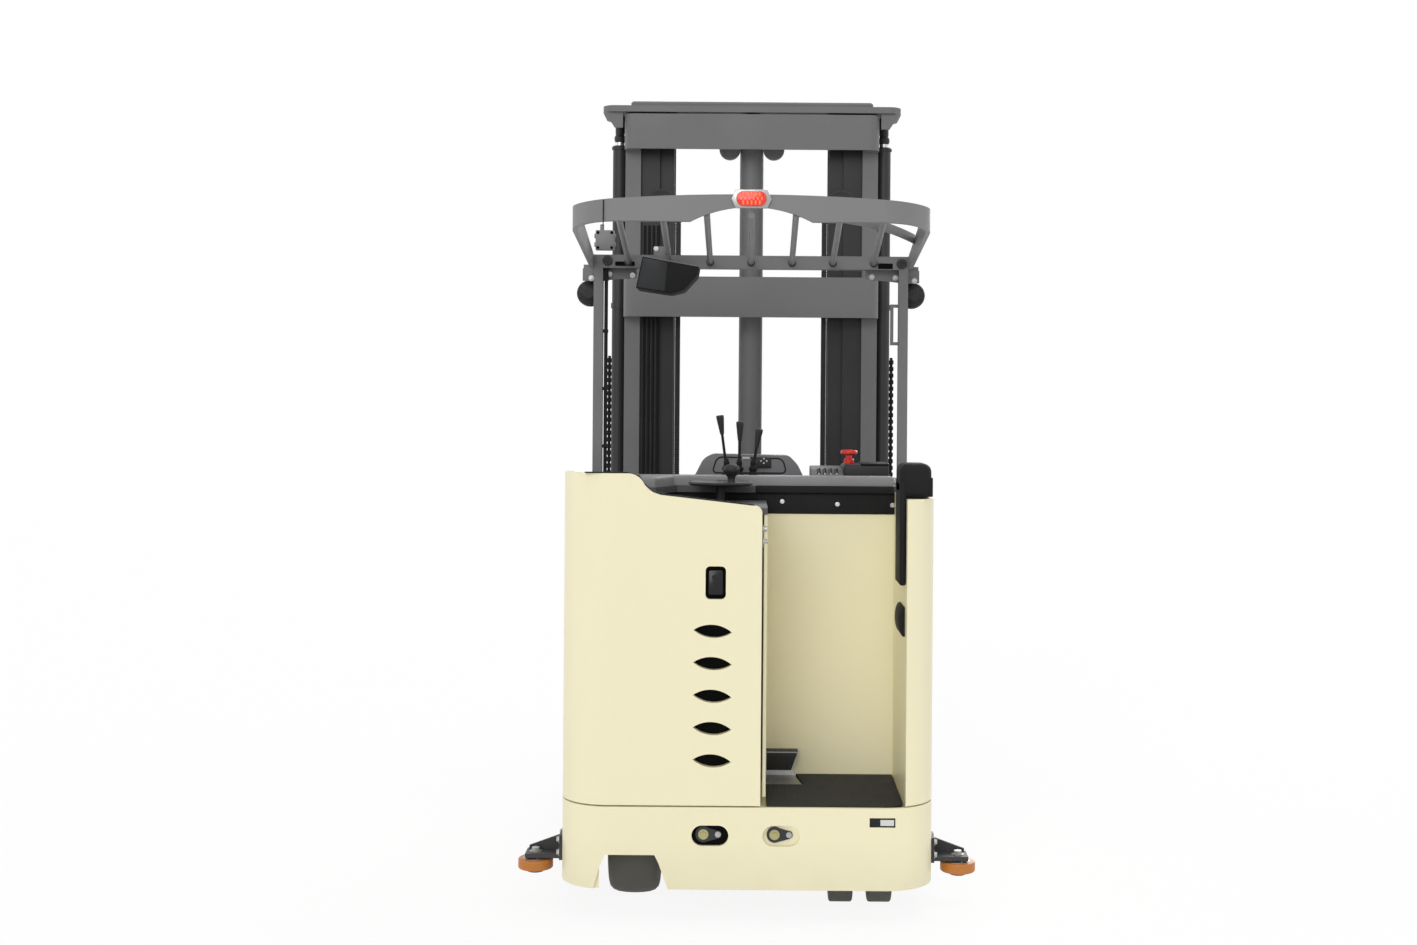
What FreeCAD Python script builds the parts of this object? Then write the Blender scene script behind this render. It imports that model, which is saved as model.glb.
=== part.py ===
"""Three-way narrow-aisle stacker, stood on by its driver.

Millimetres, +Z up, +Y forward, +X to the driver's right. The origin is on the
floor, under the middle of the machine's box. Inside this file lengths along
the machine are measured forward from its rearmost plane, and export() moves
every piece back by half the overall length.
"""
import FreeCAD, Part
import os

V = FreeCAD.Vector

# Overall body
BODY_HALF = 575.0
CORNER_R = 150.0
SKIRT_T = 12.0
FLOOR_GAP = 99.0
SEAM_Z = 349.0
BAY_LEFT = 46.0
BAY_RIGHT = BODY_HALF - 93.0
BAY_DEPTH = 473.0
PAD_T = 20.0
PAD_BACK = 46.0
PAD_DEPTH = 160.0
PAD_LOW = 1020.0
PAD_TOP = 1394.0
MAT_Z = SEAM_Z - 11.0
MAT_T = 12.0
BAY_COVER_Z = 1236.0
FRONT_WALL_TOP = 1212.0
SEAM_GAP = 5.0
WALL_TOP = 1286.0
HOLE_X = (-112.0, 104.0)
HOLE_Z = 263.0
HOLE_W = 112.0
HOLE_H = 62.0
KICK_Y = 320.0
KICK_RIGHT = 178.0
PLATE_T = 8.0
CONSOLE_Z = 1304.0
CONSOLE_T = 22.0
HULL_FRONT = 1240.0
LID_T = 20.0
SEAT = 0.3
CLEAR = 6.0
FIT = 0.05
LEVER_Y = 690.0
LEVER_TIPS = ((-80.0, 1538.0), (-35.0, 1517.0), (16.0, 1492.0))
WHEEL_X = -94.0
WHEEL_Y = 360.0
WHEEL_R = 104.0
WHEEL_T = 12.0
KNOB_X = 35.0
KNOB_R = 21.0
POD_H = 96.0
ARM_POD_H = 66.0
STOP_X = 346.0
STOP_Y = 750.0

# Rear door
DOOR_T = 24.0
DOOR_RIGHT = 40.0
DOOR_TOP_LEFT = 1360.0
DOOR_TOP_RIGHT = 1264.0
DOOR_SIDE = 170.0
HINGE_X = -BODY_HALF + 13.0
HINGE_Y = DOOR_SIDE + 14.0
HINGE_R = 11.0
HINGE_PIN_R = 5.0
HINGE_POST = 20.0
HINGE_ZS = (430.0, 1220.0)
KNUCKLE = 60.0
HATCH_X = -100.0
HATCH_Z = 1030.0
HATCH_W = 62.0
HATCH_H = 100.0
LOUVRE_X = -108.0
LOUVRE_ZS = (883.0, 785.0, 686.0, 588.0, 490.0)
LOUVRE_W = 118.0
LOUVRE_H = 40.0
LOUVRE_TILT = 3.5

# Wheels
DRIVE_X = -358.0
DRIVE_Y = 331.0
DRIVE_R = 170.0
DRIVE_W = 160.0
ARCH_TOP = 203.0
TURN_R = 194.0
MOUNT_Z = 392.0
RING_R = 92.0
CASTER_X = 357.0
CASTER_R = 90.0
CASTER_TRAIL = 52.0
CASTER_Y = 290.0
CASTER_W = 74.0
CASTER_GAP = 48.0
LOAD_X = BODY_HALF - 23.0
LOAD_Y = 1895.0
LOAD_R = 175.0
LOAD_W = 76.0
GUIDE_X = BODY_HALF + 92.0
GUIDE_Y = 215.0
GUIDE_FRONT_Y = 2035.0
GUIDE_R = 55.0
GUIDE_Z = 120.0
GUIDE_T = 32.0
GUIDE_PIN_R = 14.0

# Chassis
CHASSIS_Z = 96.0
CHASSIS_TOP = 236.0
LEG_IN = LOAD_X - 56.0
LEG_OUT = LOAD_X + 56.0
LEG_PLATE = 12.0
LEG_BACK = 1250.0
LEG_SOLID = 1690.0
LEG_FRONT = 2085.0
LEG_TOP = 330.0

# Mast: flange and web of the three nested rails, measured along X and Y
MAST_REAR = 1400.0
RAIL_DEPTH = 200.0
RAIL_T = 13.0
RAIL_STEP = 18.0
OUTER_WEB = BODY_HALF - 85.0
MIDDLE_WEB = OUTER_WEB - 54.0
INNER_WEB = MIDDLE_WEB - 73.0
OUTER_LIP = OUTER_WEB - 60.0
MIDDLE_LIP = MIDDLE_WEB - 79.0
INNER_LIP = INNER_WEB - 62.0
MIDDLE_ROLLERS = (260.0, 690.0)
INNER_ROLLERS = (300.0, 700.0)
MAST_FOOT = 98.3
OUTER_TOP = 2692.0
TIE_Z = OUTER_TOP - 134.0
LOW_TIE_Z = OUTER_TOP - 780.0
LOW_TIE_H = 155.0
TIE_HALF = OUTER_WEB + 2.0
TIE_DEPTH = 62.0
TOP_PLATE_HALF = BODY_HALF + 1.0
TOP_PLATE_Z = OUTER_TOP + 8.0
TOP_PLATE_T = 24.0
CAP_HALF = 472.0
CAP_T = 28.0
EAR_DROP = 60.0
EAR_IN = 40.0
STAGE_LIFT = 1900.0
CYL_X = OUTER_WEB + 27.5
CYL_Y = 1470.0
CYL_R = 27.0
CYL_BORE = 21.0
CYL_TOP = OUTER_TOP - 120.0
ROD_END_R = 22.0
ROD_R = 17.0
COLUMN_R = 46.0
COLUMN_TOP = OUTER_TOP - 92.0
HEAD_SHEAVE_X = 86.0
HEAD_SHEAVE_R = 41.0
HEAD_SHEAVE_Z = OUTER_TOP - 118.0
SHEAVE_R = 62.0
SHEAVE_Z = OUTER_TOP - 342.0
CHAIN_X = MIDDLE_LIP - 69.0
CHAIN_W = 20.0
CHAIN_LOW = 420.0
HOSE_R = 5.0
HOSE_PITCH = 17.0

# Lift carriage and turret head
CARRIAGE_Y = MAST_REAR + RAIL_DEPTH + 12.0
CARRIAGE_HALF = INNER_LIP - 1.0
CARRIAGE_WEB = 18.0
CARRIAGE_T = 24.0
CARRIAGE_Z = 400.0
CARRIAGE_TOP = 1060.0
BEAM_HALF = 640.0
BEAM_D = 76.0
BEAM_H = 84.0
PIVOT_Y = CARRIAGE_Y + 760.0
PIVOT_R = 58.0
ARM_HALF = 84.0
HEAD_HALF = 170.0
HEAD_T = 34.0
HEAD_STROKE = 400.0
CARRIER_HALF = 250.0
CARRIER_Y = 112.0
CARRIER_T = 30.0
FORK_LEN = 1070.0
FORK_W = 100.0
FORK_T = 40.0
FORK_X = 190.0
FORK_Z = 60.0
SHANK_TOP = 540.0

# Overhead guard
POST_X = BODY_HALF - 45.0
POST_Y = 745.0
POST_W = 32.0
FRONT_BAR_Z = 2045.0
FRONT_BAR_H = 46.0
FRONT_BAR_D = 40.0
FRONT_BAR_HALF = POST_X + 21.0
HOOP_T = 14.0
HOOP_HALF = BODY_HALF - 15.0
HOOP_ARCH = 24.0
HOOP_ARCH_HALF = 190.0
HOOP_TOP = 2212.0
HOOP_DROP = 26.0
HOOP_H = 80.0
HOOP_R = 150.0
BAR_R = 10.0
HOOP_BACK = 22.0
LAMP_STRAP_Z = 2026.0
LAMP_X = POST_X + 37.0
LAMP_Z = 1962.0
LAMP_R = 46.0
STRAP_IN = 400.0
STRAP_OUT = LAMP_X + 18.0

OVERALL = PIVOT_Y + CARRIER_Y + CARRIER_T + SEAT + FORK_T + FORK_LEN
Y_MID = OVERALL / 2


def box(x0, x1, y0, y1, z0, z1):
    return Part.makeBox(x1 - x0, y1 - y0, z1 - z0, V(x0, y0, z0))


def rod(r, start, end):
    a, b = V(*start), V(*end)
    return Part.makeCylinder(r, a.distanceToPoint(b), a, b.sub(a))


def tube(r, bore, start, end):
    return rod(r, start, end).cut(rod(bore, start, end))


def face(points):
    return Part.Face(Part.makePolygon([V(*p) for p in points + points[:1]]))


def plate_x(profile, x0, x1):
    """Profile of (y, z) points pushed from x0 to x1."""
    return face([(x0, y, z) for y, z in profile]).extrude(V(x1 - x0, 0, 0))


def plate_y(profile, y0, y1):
    """Profile of (x, z) points pushed from y0 to y1."""
    return face([(x, y0, z) for x, z in profile]).extrude(V(0, y1 - y0, 0))


def plate_z(profile, z0, z1):
    """Profile of (x, y) points pushed from z0 to z1."""
    return face([(x, y, z0) for x, y in profile]).extrude(V(0, 0, z1 - z0))


def fuse(*shapes):
    first = shapes[0]
    if len(shapes) == 1:
        return first
    return first.fuse(list(shapes[1:])).removeSplitter()


def mirrored(shape):
    return shape.mirror(V(0, 0, 0), V(1, 0, 0))


def pair(shape):
    return Part.makeCompound([shape, mirrored(shape)])


def group(*shapes):
    """Separate solids that share one node."""
    return Part.makeCompound([solid for shape in shapes for solid in shape.Solids])


def round_edges(shape, r, pick):
    edges = [e for e in shape.Edges if pick(e)]
    return shape.makeFillet(r, edges) if edges else shape


def upright(edge):
    a, b = edge.Vertexes[0].Point, edge.Vertexes[-1].Point
    return abs(a.x - b.x) < 0.01 and abs(a.y - b.y) < 0.01 and abs(a.z - b.z) > 1


def edge_at(axis, value, other=None):
    """Picks straight edges whose two ends both lie at one coordinate."""
    def pick(edge):
        ends = [v.Point for v in edge.Vertexes]
        hit = all(abs(getattr(p, axis) - value) < 0.01 for p in ends)
        if other is None:
            return hit
        return hit and all(abs(getattr(p, other[0]) - other[1]) < 0.01 for p in ends)
    return pick


def u_plan(half, r, y1, z0, z1, back=0.0):
    """Solid block whose two rear corners are rounded in plan."""
    block = box(-half, half, back, y1, z0, z1)
    corners = [e for e in block.Edges if upright(e) and abs(e.Vertexes[0].Point.y - back) < 0.01]
    return block.makeFillet(r, corners)


def export(shapes):
    os.makedirs("parts", exist_ok=True)
    for name, shape in shapes.items():
        placed = shape.copy()
        placed.translate(V(0, -Y_MID, 0))
        placed.exportStep("parts/%s.step" % name)


def shell_wall(z0, z1, y1, thick, inset=0.0):
    """Upright wall that follows the rear outline of the body."""
    outer = u_plan(BODY_HALF - inset, CORNER_R - inset, y1, z0, z1, inset)
    inner = u_plan(BODY_HALF - inset - thick, CORNER_R - inset - thick, y1 + 1, z0 - 1, z1 + 1, inset + thick)
    return outer.cut(inner)


def leaf(cx, cz, w, h, y0, y1):
    """Hole of two shallow arcs that meet in points at its ends."""
    left, right = V(cx - w / 2, y0, cz), V(cx + w / 2, y0, cz)
    over = Part.Arc(left, V(cx, y0, cz + h / 2), right).toShape()
    under = Part.Arc(right, V(cx, y0, cz - h / 2), left).toShape()
    return Part.Face(Part.Wire([over, under])).extrude(V(0, y1 - y0, 0))


def obround(cx, cz, w, h, y0, y1):
    r = h / 2
    core = box(cx - w / 2 + r, cx + w / 2 - r, y0, y1, cz - r, cz + r)
    return fuse(core, rod(r, (cx - w / 2 + r, y0, cz), (cx - w / 2 + r, y1, cz)),
                rod(r, (cx + w / 2 - r, y0, cz), (cx + w / 2 - r, y1, cz)))


def lower_body():
    """Skirt round the wheels, with the deck that closes it."""
    t = SKIRT_T
    skirt = shell_wall(FLOOR_GAP, SEAM_Z, BAY_DEPTH, t)
    deck = u_plan(BODY_HALF - t, CORNER_R - t, BAY_DEPTH, SEAM_Z - 9, SEAM_Z, t)
    well = box(BAY_LEFT, BAY_RIGHT, -1, BAY_DEPTH + 1, SEAM_Z - 12, SEAM_Z + 1)
    step = box(BAY_LEFT, BAY_RIGHT, t, BAY_DEPTH, MAT_Z - PLATE_T, MAT_Z)
    sides = [box(x, x + 8, t, BAY_DEPTH, MAT_Z - PLATE_T, SEAM_Z - 8) for x in (BAY_LEFT - 8, BAY_RIGHT)]
    body = fuse(skirt, deck.cut(well), step, *sides)
    left, right = DRIVE_X - DRIVE_W / 2, DRIVE_X + DRIVE_W / 2
    outline = [(left - 28, FLOOR_GAP - 1), (left - 8, ARCH_TOP - 36), (left + 8, ARCH_TOP), (right - 2, ARCH_TOP),
               (right + 10, ARCH_TOP - 24), (right + 40, FLOOR_GAP - 1)]
    arch = plate_y(outline, -1, t + 2)
    body = body.cut(arch)
    swing = rod(TURN_R, (DRIVE_X, DRIVE_Y, SEAM_Z - 20), (DRIVE_X, DRIVE_Y, SEAM_Z + 1))
    body = body.cut(swing)
    for cx in HOLE_X:
        body = body.cut(obround(cx, HOLE_Z, HOLE_W, HOLE_H, -1, t + 1))
    return body


def tie_links():
    """Dished plate behind each oval hole of the skirt, with its egg-shaped link."""
    made = []
    back = SKIRT_T + SEAT
    for cx in HOLE_X:
        half, rise = HOLE_W / 2 + 9, HOLE_H / 2 + 8
        pan = box(cx - half, cx + half, back, back + 4, HOLE_Z - rise, HOLE_Z + rise)
        big, small = cx - 20, cx + 24
        front = SKIRT_T - 7
        sides = [(big + 2, HOLE_Z - 21), (small + 2, HOLE_Z - 9), (small + 2, HOLE_Z + 13), (big + 2, HOLE_Z + 26)]
        web = plate_y(sides, front, back + 1)
        eye = rod(24, (big, front, HOLE_Z + 3), (big, back + 1, HOLE_Z + 3))
        tip = rod(11, (small, front, HOLE_Z + 3), (small, back + 1, HOLE_Z + 3))
        made.append(fuse(pan, web, eye, tip))
    return Part.makeCompound(made)


def door_outline():
    """Rear view of the door: (x, z) with its stepped top edge."""
    left, right, low = -BODY_HALF, DOOR_RIGHT, SEAM_Z + SEAM_GAP
    top, end = DOOR_TOP_LEFT, DOOR_TOP_RIGHT
    dip = end + 30
    outline = [V(left, 0, low), V(right, 0, low), V(right, 0, end - 22)]
    edges = [Part.LineSegment(outline[0], outline[1]), Part.LineSegment(outline[1], outline[2])]
    edges.append(Part.Arc(outline[2], V(right - 6, 0, end - 7), V(right - 22, 0, end)))
    edges.append(Part.LineSegment(V(right - 22, 0, end), V(-255, 0, dip)))
    edges.append(Part.Arc(V(-255, 0, dip), V(-292, 0, dip + 10), V(-318, 0, dip + 33)))
    edges.append(Part.Arc(V(-318, 0, dip + 33), V(-340, 0, top - 8), V(-375, 0, top)))
    edges.append(Part.LineSegment(V(-375, 0, top), V(left, 0, top)))
    edges.append(Part.LineSegment(V(left, 0, top), V(left, 0, low)))
    wire = Part.Wire([e.toShape() for e in edges])
    return Part.Face(wire)


def rear_door():
    """Wrap-round cover, hinged at its side edge, with latch hole and louvres."""
    skin = shell_wall(SEAM_Z, DOOR_TOP_LEFT + 20, DOOR_SIDE, DOOR_T)
    cutter = door_outline()
    cutter.translate(V(0, -1, 0))
    door = skin.common(cutter.extrude(V(0, DOOR_SIDE + 2, 0)))
    door = max(door.Solids, key=lambda s: s.Volume)
    half, rise = HATCH_W / 2, HATCH_H / 2
    hatch = box(HATCH_X - half, HATCH_X + half, -1, DOOR_T - 6, HATCH_Z - rise, HATCH_Z + rise)
    door = door.cut(hatch.makeFillet(14, [e for e in hatch.Edges if e.BoundBox.YLength > 15]))
    for cz in LOUVRE_ZS:
        slot = leaf(LOUVRE_X, cz, LOUVRE_W, LOUVRE_H, -1, DOOR_T + 1)
        slot.rotate(V(LOUVRE_X, 0, cz), V(0, 1, 0), LOUVRE_TILT)
        door = door.cut(slot)
    door = door.cut(rod(HINGE_R + 1, (HINGE_X, HINGE_Y, SEAM_Z), (HINGE_X, HINGE_Y, DOOR_TOP_LEFT + 30)))
    for z in HINGE_ZS:
        ends = (HINGE_X, HINGE_Y, z), (HINGE_X, HINGE_Y, z + KNUCKLE)
        knuckle = tube(HINGE_R, HINGE_PIN_R + FIT, *ends)
        flap = box(HINGE_X - HINGE_R + 2, HINGE_X + 9, DOOR_SIDE - 6, HINGE_Y - 7, z, z + KNUCKLE)
        door = fuse(door, knuckle, flap.cut(rod(HINGE_PIN_R + FIT, *ends)))
    return door


def door_hinge():
    """Fixed half of the two hinges: pins, end knuckles and the post behind."""
    y0 = HINGE_Y + HINGE_POST
    x0 = -BODY_HALF
    post = box(x0, x0 + 16, y0, y0 + 30, SEAM_Z + SEAT, BAY_COVER_Z - SEAT)
    made = post
    for z in HINGE_ZS:
        pin = rod(HINGE_PIN_R, (HINGE_X, HINGE_Y, z - 24), (HINGE_X, HINGE_Y, z + KNUCKLE + 24))
        for z0, z1 in ((z - 24, z - 1), (z + KNUCKLE + 1, z + KNUCKLE + 24)):
            ear = rod(HINGE_R, (HINGE_X, HINGE_Y, z0), (HINGE_X, HINGE_Y, z1))
            web = box(HINGE_X - 3, HINGE_X + 3, HINGE_Y + 2, y0 + 1, z0, z1)
            pin = fuse(pin, ear, web)
        made = fuse(made, pin)
    return made


def right_wall():
    """Hollow post of the bodywork beside the driver's right hip."""
    low = SEAM_Z + SEAM_GAP
    top = WALL_TOP
    outer = shell_wall(low, top, BAY_DEPTH, 14.0).common(box(BAY_RIGHT, BODY_HALF + 1, -1, BAY_DEPTH, low, top))
    outer = max(outer.Solids, key=lambda s: s.Volume)
    inner = box(BAY_RIGHT, BAY_RIGHT + 10, 30, BAY_DEPTH, low, top)
    lip = box(BAY_RIGHT, BODY_HALF - 40, 40, BAY_DEPTH, top - 10, top)
    return fuse(outer, inner, lip)


def cabin_partition():
    """Front wall and left wall of the bay that the driver stands in."""
    low = MAT_Z + SEAT
    front = box(BAY_LEFT, BAY_RIGHT - SEAT, BAY_DEPTH, BAY_DEPTH + 22, low, FRONT_WALL_TOP)
    left = box(BAY_LEFT, BAY_LEFT + 10, 36, BAY_DEPTH, low + 36, FRONT_WALL_TOP)
    rise = box(BAY_LEFT, BAY_LEFT + 10, 36, BAY_DEPTH - 8, FRONT_WALL_TOP - 1, BAY_COVER_Z - SEAT)
    return fuse(front, left, rise)


def apron():
    """Black soft band along the rear edge of the console."""
    z0, z1 = FRONT_WALL_TOP + SEAT, CONSOLE_Z - CONSOLE_T - SEAT
    band = box(24, BAY_RIGHT - 2, BAY_DEPTH - 6, BAY_DEPTH + 20, z0, z1)
    left = box(-BODY_HALF + 16, 25, BAY_DEPTH - 6, BAY_DEPTH + 20, BAY_COVER_Z + LID_T + SEAT, z1)
    return fuse(band, left)


def bay_cover():
    """Lid over the drive bay, between the door and the console."""
    z = BAY_COVER_Z
    lid = box(-BODY_HALF + 16, BAY_LEFT + 10, DOOR_T + 6, BAY_DEPTH - 8, z, z + LID_T)
    corner = u_plan(BODY_HALF - 30, CORNER_R - 30, BAY_DEPTH, z - 1, z + LID_T + 1, DOOR_T + 6)
    return lid.common(corner)


def battery_cover():
    """Body sides, battery and its front cover, in one hollow box."""
    z0, z1 = CHASSIS_TOP + SEAT, CONSOLE_Z - CONSOLE_T - SEAT
    back = BAY_DEPTH + 22 + SEAT
    outer = box(-BODY_HALF + 4, BODY_HALF - 4, back, HULL_FRONT, z0, z1)
    outer = outer.makeFillet(30, [e for e in outer.Edges if upright(e)])
    seams = [box(-BODY_HALF, -BODY_HALF + 7, y, y + 4, z0 + 100, z1 + 1) for y in (560, 900, 1190)]
    right = [mirrored(s) for s in seams]
    swing = rod(TURN_R, (DRIVE_X, DRIVE_Y, z0 - 1), (DRIVE_X, DRIVE_Y, SEAM_Z + 60))
    return outer.cut(Part.makeCompound(seams + right)).cut(swing)


def left_side_panel():
    """Side of the drive bay, between the door and the battery."""
    y0 = HINGE_Y + HINGE_POST + 30 + SEAT
    return box(-BODY_HALF, -BODY_HALF + 14, y0, BAY_DEPTH + 22, SEAM_Z + SEAT, CONSOLE_Z - CONSOLE_T - SEAT)


def console():
    """Deck over the battery, with its cranked rear edge."""
    z0, z1 = CONSOLE_Z - CONSOLE_T, CONSOLE_Z
    outline = [(-BODY_HALF + 6, 300), (-300, 300), (-240, 455), (BAY_RIGHT - 2, 455),
               (BAY_RIGHT - 2, BAY_DEPTH + SEAT), (BODY_HALF - 6, BAY_DEPTH + SEAT),
               (BODY_HALF - 6, HULL_FRONT), (-BODY_HALF + 6, HULL_FRONT)]
    deck = plate_z(outline, z0, z1)
    hood = plate_y([(-352, z1 - 1), (-240, z1 - 1), (-252, z1 + 14), (-336, z1 + 14)], 560, 760)
    return fuse(deck, hood)


def display_pod():
    """Screen housing on a flared foot, with its cranked front and key panel."""
    z = CONSOLE_Z + SEAT
    top = z + POD_H
    profile = [(-226, z), (206, z), (184, z + 24), (166, z + 62), (134, top - 6), (-128, top),
               (-160, top - 16), (-190, z + 24)]
    pod = plate_y(profile, 770, 850)
    foot = plate_y([(-226, z), (206, z), (184, z + 24), (-190, z + 24)], 660, 771)
    inset = plate_y([(-120, z + 34), (118, z + 34), (112, z + 78), (-112, z + 82)], 765, 775)
    keys = box(14, 86, 768, 776, z + 46, z + 76)
    wells = [rod(24, (x, LEVER_Y, z - 1), (x, LEVER_Y, z + 25)) for x, tip in LEVER_TIPS]
    return fuse(pod.cut(inset), keys, foot.cut(Part.makeCompound(wells)))


def armrest_pod():
    """Arm pad box with the switch cluster beside it."""
    z = CONSOLE_Z + SEAT
    arm = box(322, 478, 640, 850, z, z + ARM_POD_H)
    arm = arm.makeFillet(12, [e for e in arm.Edges if e.BoundBox.ZMin > z + ARM_POD_H - 1])
    slope = plate_x([(640, z), (850, z), (850, z + 56), (700, z + 48), (640, z + 26)], 212, 323)
    skirt = plate_y([(478, z), (500, z), (477, z + 40)], 660, 840)
    return fuse(arm, slope, skirt)


def e_stop():
    """Red mushroom button on its collar."""
    z = CONSOLE_Z + SEAT + ARM_POD_H + SEAT
    x, y = STOP_X, STOP_Y
    return fuse(rod(17, (x, y, z), (x, y, z + 20)), rod(9, (x, y, z + 19), (x, y, z + 34)),
                rod(29, (x, y, z + 33), (x, y, z + 48)))


def control_levers():
    """Three levers with rubber boots and tapered grips."""
    made = []
    z = CONSOLE_Z + SEAT
    for x, tip in LEVER_TIPS:
        foot = Part.makeCone(20, 9, 82, V(x, LEVER_Y, z))
        stem = rod(5, (x, LEVER_Y, z + 70), (x, LEVER_Y, tip - 60))
        grip = Part.makeCone(9, 13, 66, V(x, LEVER_Y, tip - 66))
        made.append(fuse(foot, stem, grip))
    return Part.makeCompound(made)


def steering_wheel():
    """Flat disc with a knob, on a short column from the lid below."""
    z = CONSOLE_Z + CLEAR
    x, y = WHEEL_X, WHEEL_Y
    disc = rod(WHEEL_R, (x, y, z), (x, y, z + WHEEL_T))
    disc = disc.makeFillet(5, [e for e in disc.Edges if e.BoundBox.ZLength < 0.1])
    stem = rod(14, (x, y, BAY_COVER_Z + LID_T + SEAT), (x, y, z + 1))
    post = rod(7, (x + KNOB_X, y, z + WHEEL_T - 1), (x + KNOB_X, y, z + WHEEL_T + 16))
    knob = Part.makeSphere(KNOB_R, V(x + KNOB_X, y, z + WHEEL_T + 14 + KNOB_R))
    return fuse(disc, stem, post, knob)


def platform_mat():
    """Floor mat, cut away round the kick plate, with one rounded rear corner."""
    left, right, front = BAY_LEFT + 14, BAY_RIGHT - 4, BAY_DEPTH - 4
    outline = [(left, SKIRT_T + 4), (right, SKIRT_T + 4), (right, front), (KICK_RIGHT - 17, front),
               (KICK_RIGHT + 6, KICK_Y - 6), (left, KICK_Y - 6)]
    mat = plate_z(outline, MAT_Z + SEAT, MAT_Z + MAT_T)
    return round_edges(mat, 60, lambda e: upright(e) and e.Vertexes[0].Point.y < 20 and e.Vertexes[0].Point.x > 300)


def pedal():
    """Foot pedal block on the front wall, over its bright kick plate."""
    z = MAT_Z + SEAT
    front = BAY_DEPTH - SEAT
    left = BAY_LEFT + 14
    kick = plate_z([(left, KICK_Y), (KICK_RIGHT, KICK_Y), (KICK_RIGHT - 23, front), (left, front)], z, z + 8)
    wall = box(left, KICK_RIGHT - 23, front - 6, front, z + 7, z + 60)
    shape = [(left, z + 32), (KICK_RIGHT - 32, z + 32), (KICK_RIGHT - 10, z + 95), (left, z + 95)]
    block = plate_y(shape, front - 58, front)
    return fuse(kick, wall, block)


def backrest_pad():
    """Curved black cushion over the inner top of the right wall."""
    x0, y0, y1 = BAY_RIGHT - PAD_T, PAD_BACK, PAD_BACK + PAD_DEPTH
    pad = box(x0, BAY_RIGHT - SEAT, y0, y1, PAD_LOW, WALL_TOP + 1)
    hood = box(x0, BODY_HALF - 16, y0, y1, WALL_TOP + SEAT, PAD_TOP)
    pad = fuse(pad, hood)
    top = [e for e in pad.Edges if e.BoundBox.YLength > 100 and e.BoundBox.ZMin > PAD_TOP - 4]
    pad = pad.makeFillet(30, top)
    low = [e for e in pad.Edges if e.BoundBox.YLength > 100 and e.BoundBox.ZMax < PAD_LOW + 2]
    return pad.makeFillet(8, low)


def hip_pad():
    """Half-lens cushion on the inner face of the right wall."""
    lens = rod(70, (BAY_RIGHT + 52, 80, 905), (BAY_RIGHT + 52, 230, 905))
    return lens.common(box(BAY_RIGHT - 40, BAY_RIGHT - SEAT, 80, 230, 840, 970))


def guard_hoop():
    """Bent strip that runs from the front bar round the rear of the roof."""
    front = POST_Y - FRONT_BAR_D / 2 - SEAT
    outer = u_plan(HOOP_HALF, HOOP_R, front, 1990, 2260, HOOP_BACK)
    inner = u_plan(HOOP_HALF - HOOP_T, HOOP_R - HOOP_T, front + 1, 1980, 2270, HOOP_BACK + HOOP_T)
    ring = outer.cut(inner)
    side = plate_x([(-1, HOOP_TOP - HOOP_H), (150, HOOP_TOP - HOOP_H - 18), (front, FRONT_BAR_Z + 2),
                    (front, FRONT_BAR_Z + FRONT_BAR_H), (200, HOOP_TOP - 14), (-1, HOOP_TOP + 40)],
                   -HOOP_HALF - 1, HOOP_HALF + 1)
    ring = ring.common(side)
    low, high = 1990, HOOP_TOP - HOOP_DROP
    crown = [V(-HOOP_HALF - 1, -1, high), V(0, -1, HOOP_TOP), V(HOOP_HALF + 1, -1, high)]
    arc = Part.Arc(*crown).toShape()
    legs = Part.makePolygon([crown[2], V(HOOP_HALF + 1, -1, low), V(-HOOP_HALF - 1, -1, low), crown[0]])
    ring = ring.common(Part.Face(Part.Wire([arc] + legs.Edges)).extrude(V(0, front + 2, 0)))
    foot = HOOP_TOP - HOOP_H - 6
    under = [V(-HOOP_ARCH_HALF, -1, foot), V(0, -1, foot + 2 * HOOP_ARCH), V(HOOP_ARCH_HALF, -1, foot)]
    bow = Part.Arc(*under).toShape()
    chord = Part.makePolygon([under[2], under[0]])
    return ring.cut(Part.Face(Part.Wire([bow] + chord.Edges)).extrude(V(0, HOOP_BACK + HOOP_T + 2, 0)))


def guard_frame():
    """Posts, front bar, grab handle and the lamps' brackets."""
    z0 = CONSOLE_Z + SEAT
    y = POST_Y
    half = POST_W / 2
    post = box(POST_X - half, POST_X + half, y - 20, y + 20, z0, FRONT_BAR_Z + 1)
    foot = box(POST_X - half, BODY_HALF - 8, y - 50, y + 50, z0, z0 + 14)
    bar = box(-FRONT_BAR_HALF, FRONT_BAR_HALF, y - FRONT_BAR_D / 2, y + FRONT_BAR_D / 2,
              FRONT_BAR_Z, FRONT_BAR_Z + FRONT_BAR_H)
    frame = fuse(bar, post, mirrored(post), foot, mirrored(foot))
    x = POST_X - half
    grab = fuse(box(x - 28, x - 17, y - 5, y + 5, 1784, 1926),
                box(x - 18, x + 1, y - 5, y + 5, 1784, 1795), box(x - 18, x + 1, y - 5, y + 5, 1915, 1926))
    strap = fuse(box(STRAP_IN, STRAP_OUT, y + 18, y + 27, LAMP_STRAP_Z, FRONT_BAR_Z + 14),
                 box(STRAP_IN, STRAP_OUT, y + 26, y + 90, LAMP_STRAP_Z, LAMP_STRAP_Z + 6))
    return fuse(frame, grab, strap, mirrored(strap))


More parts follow.
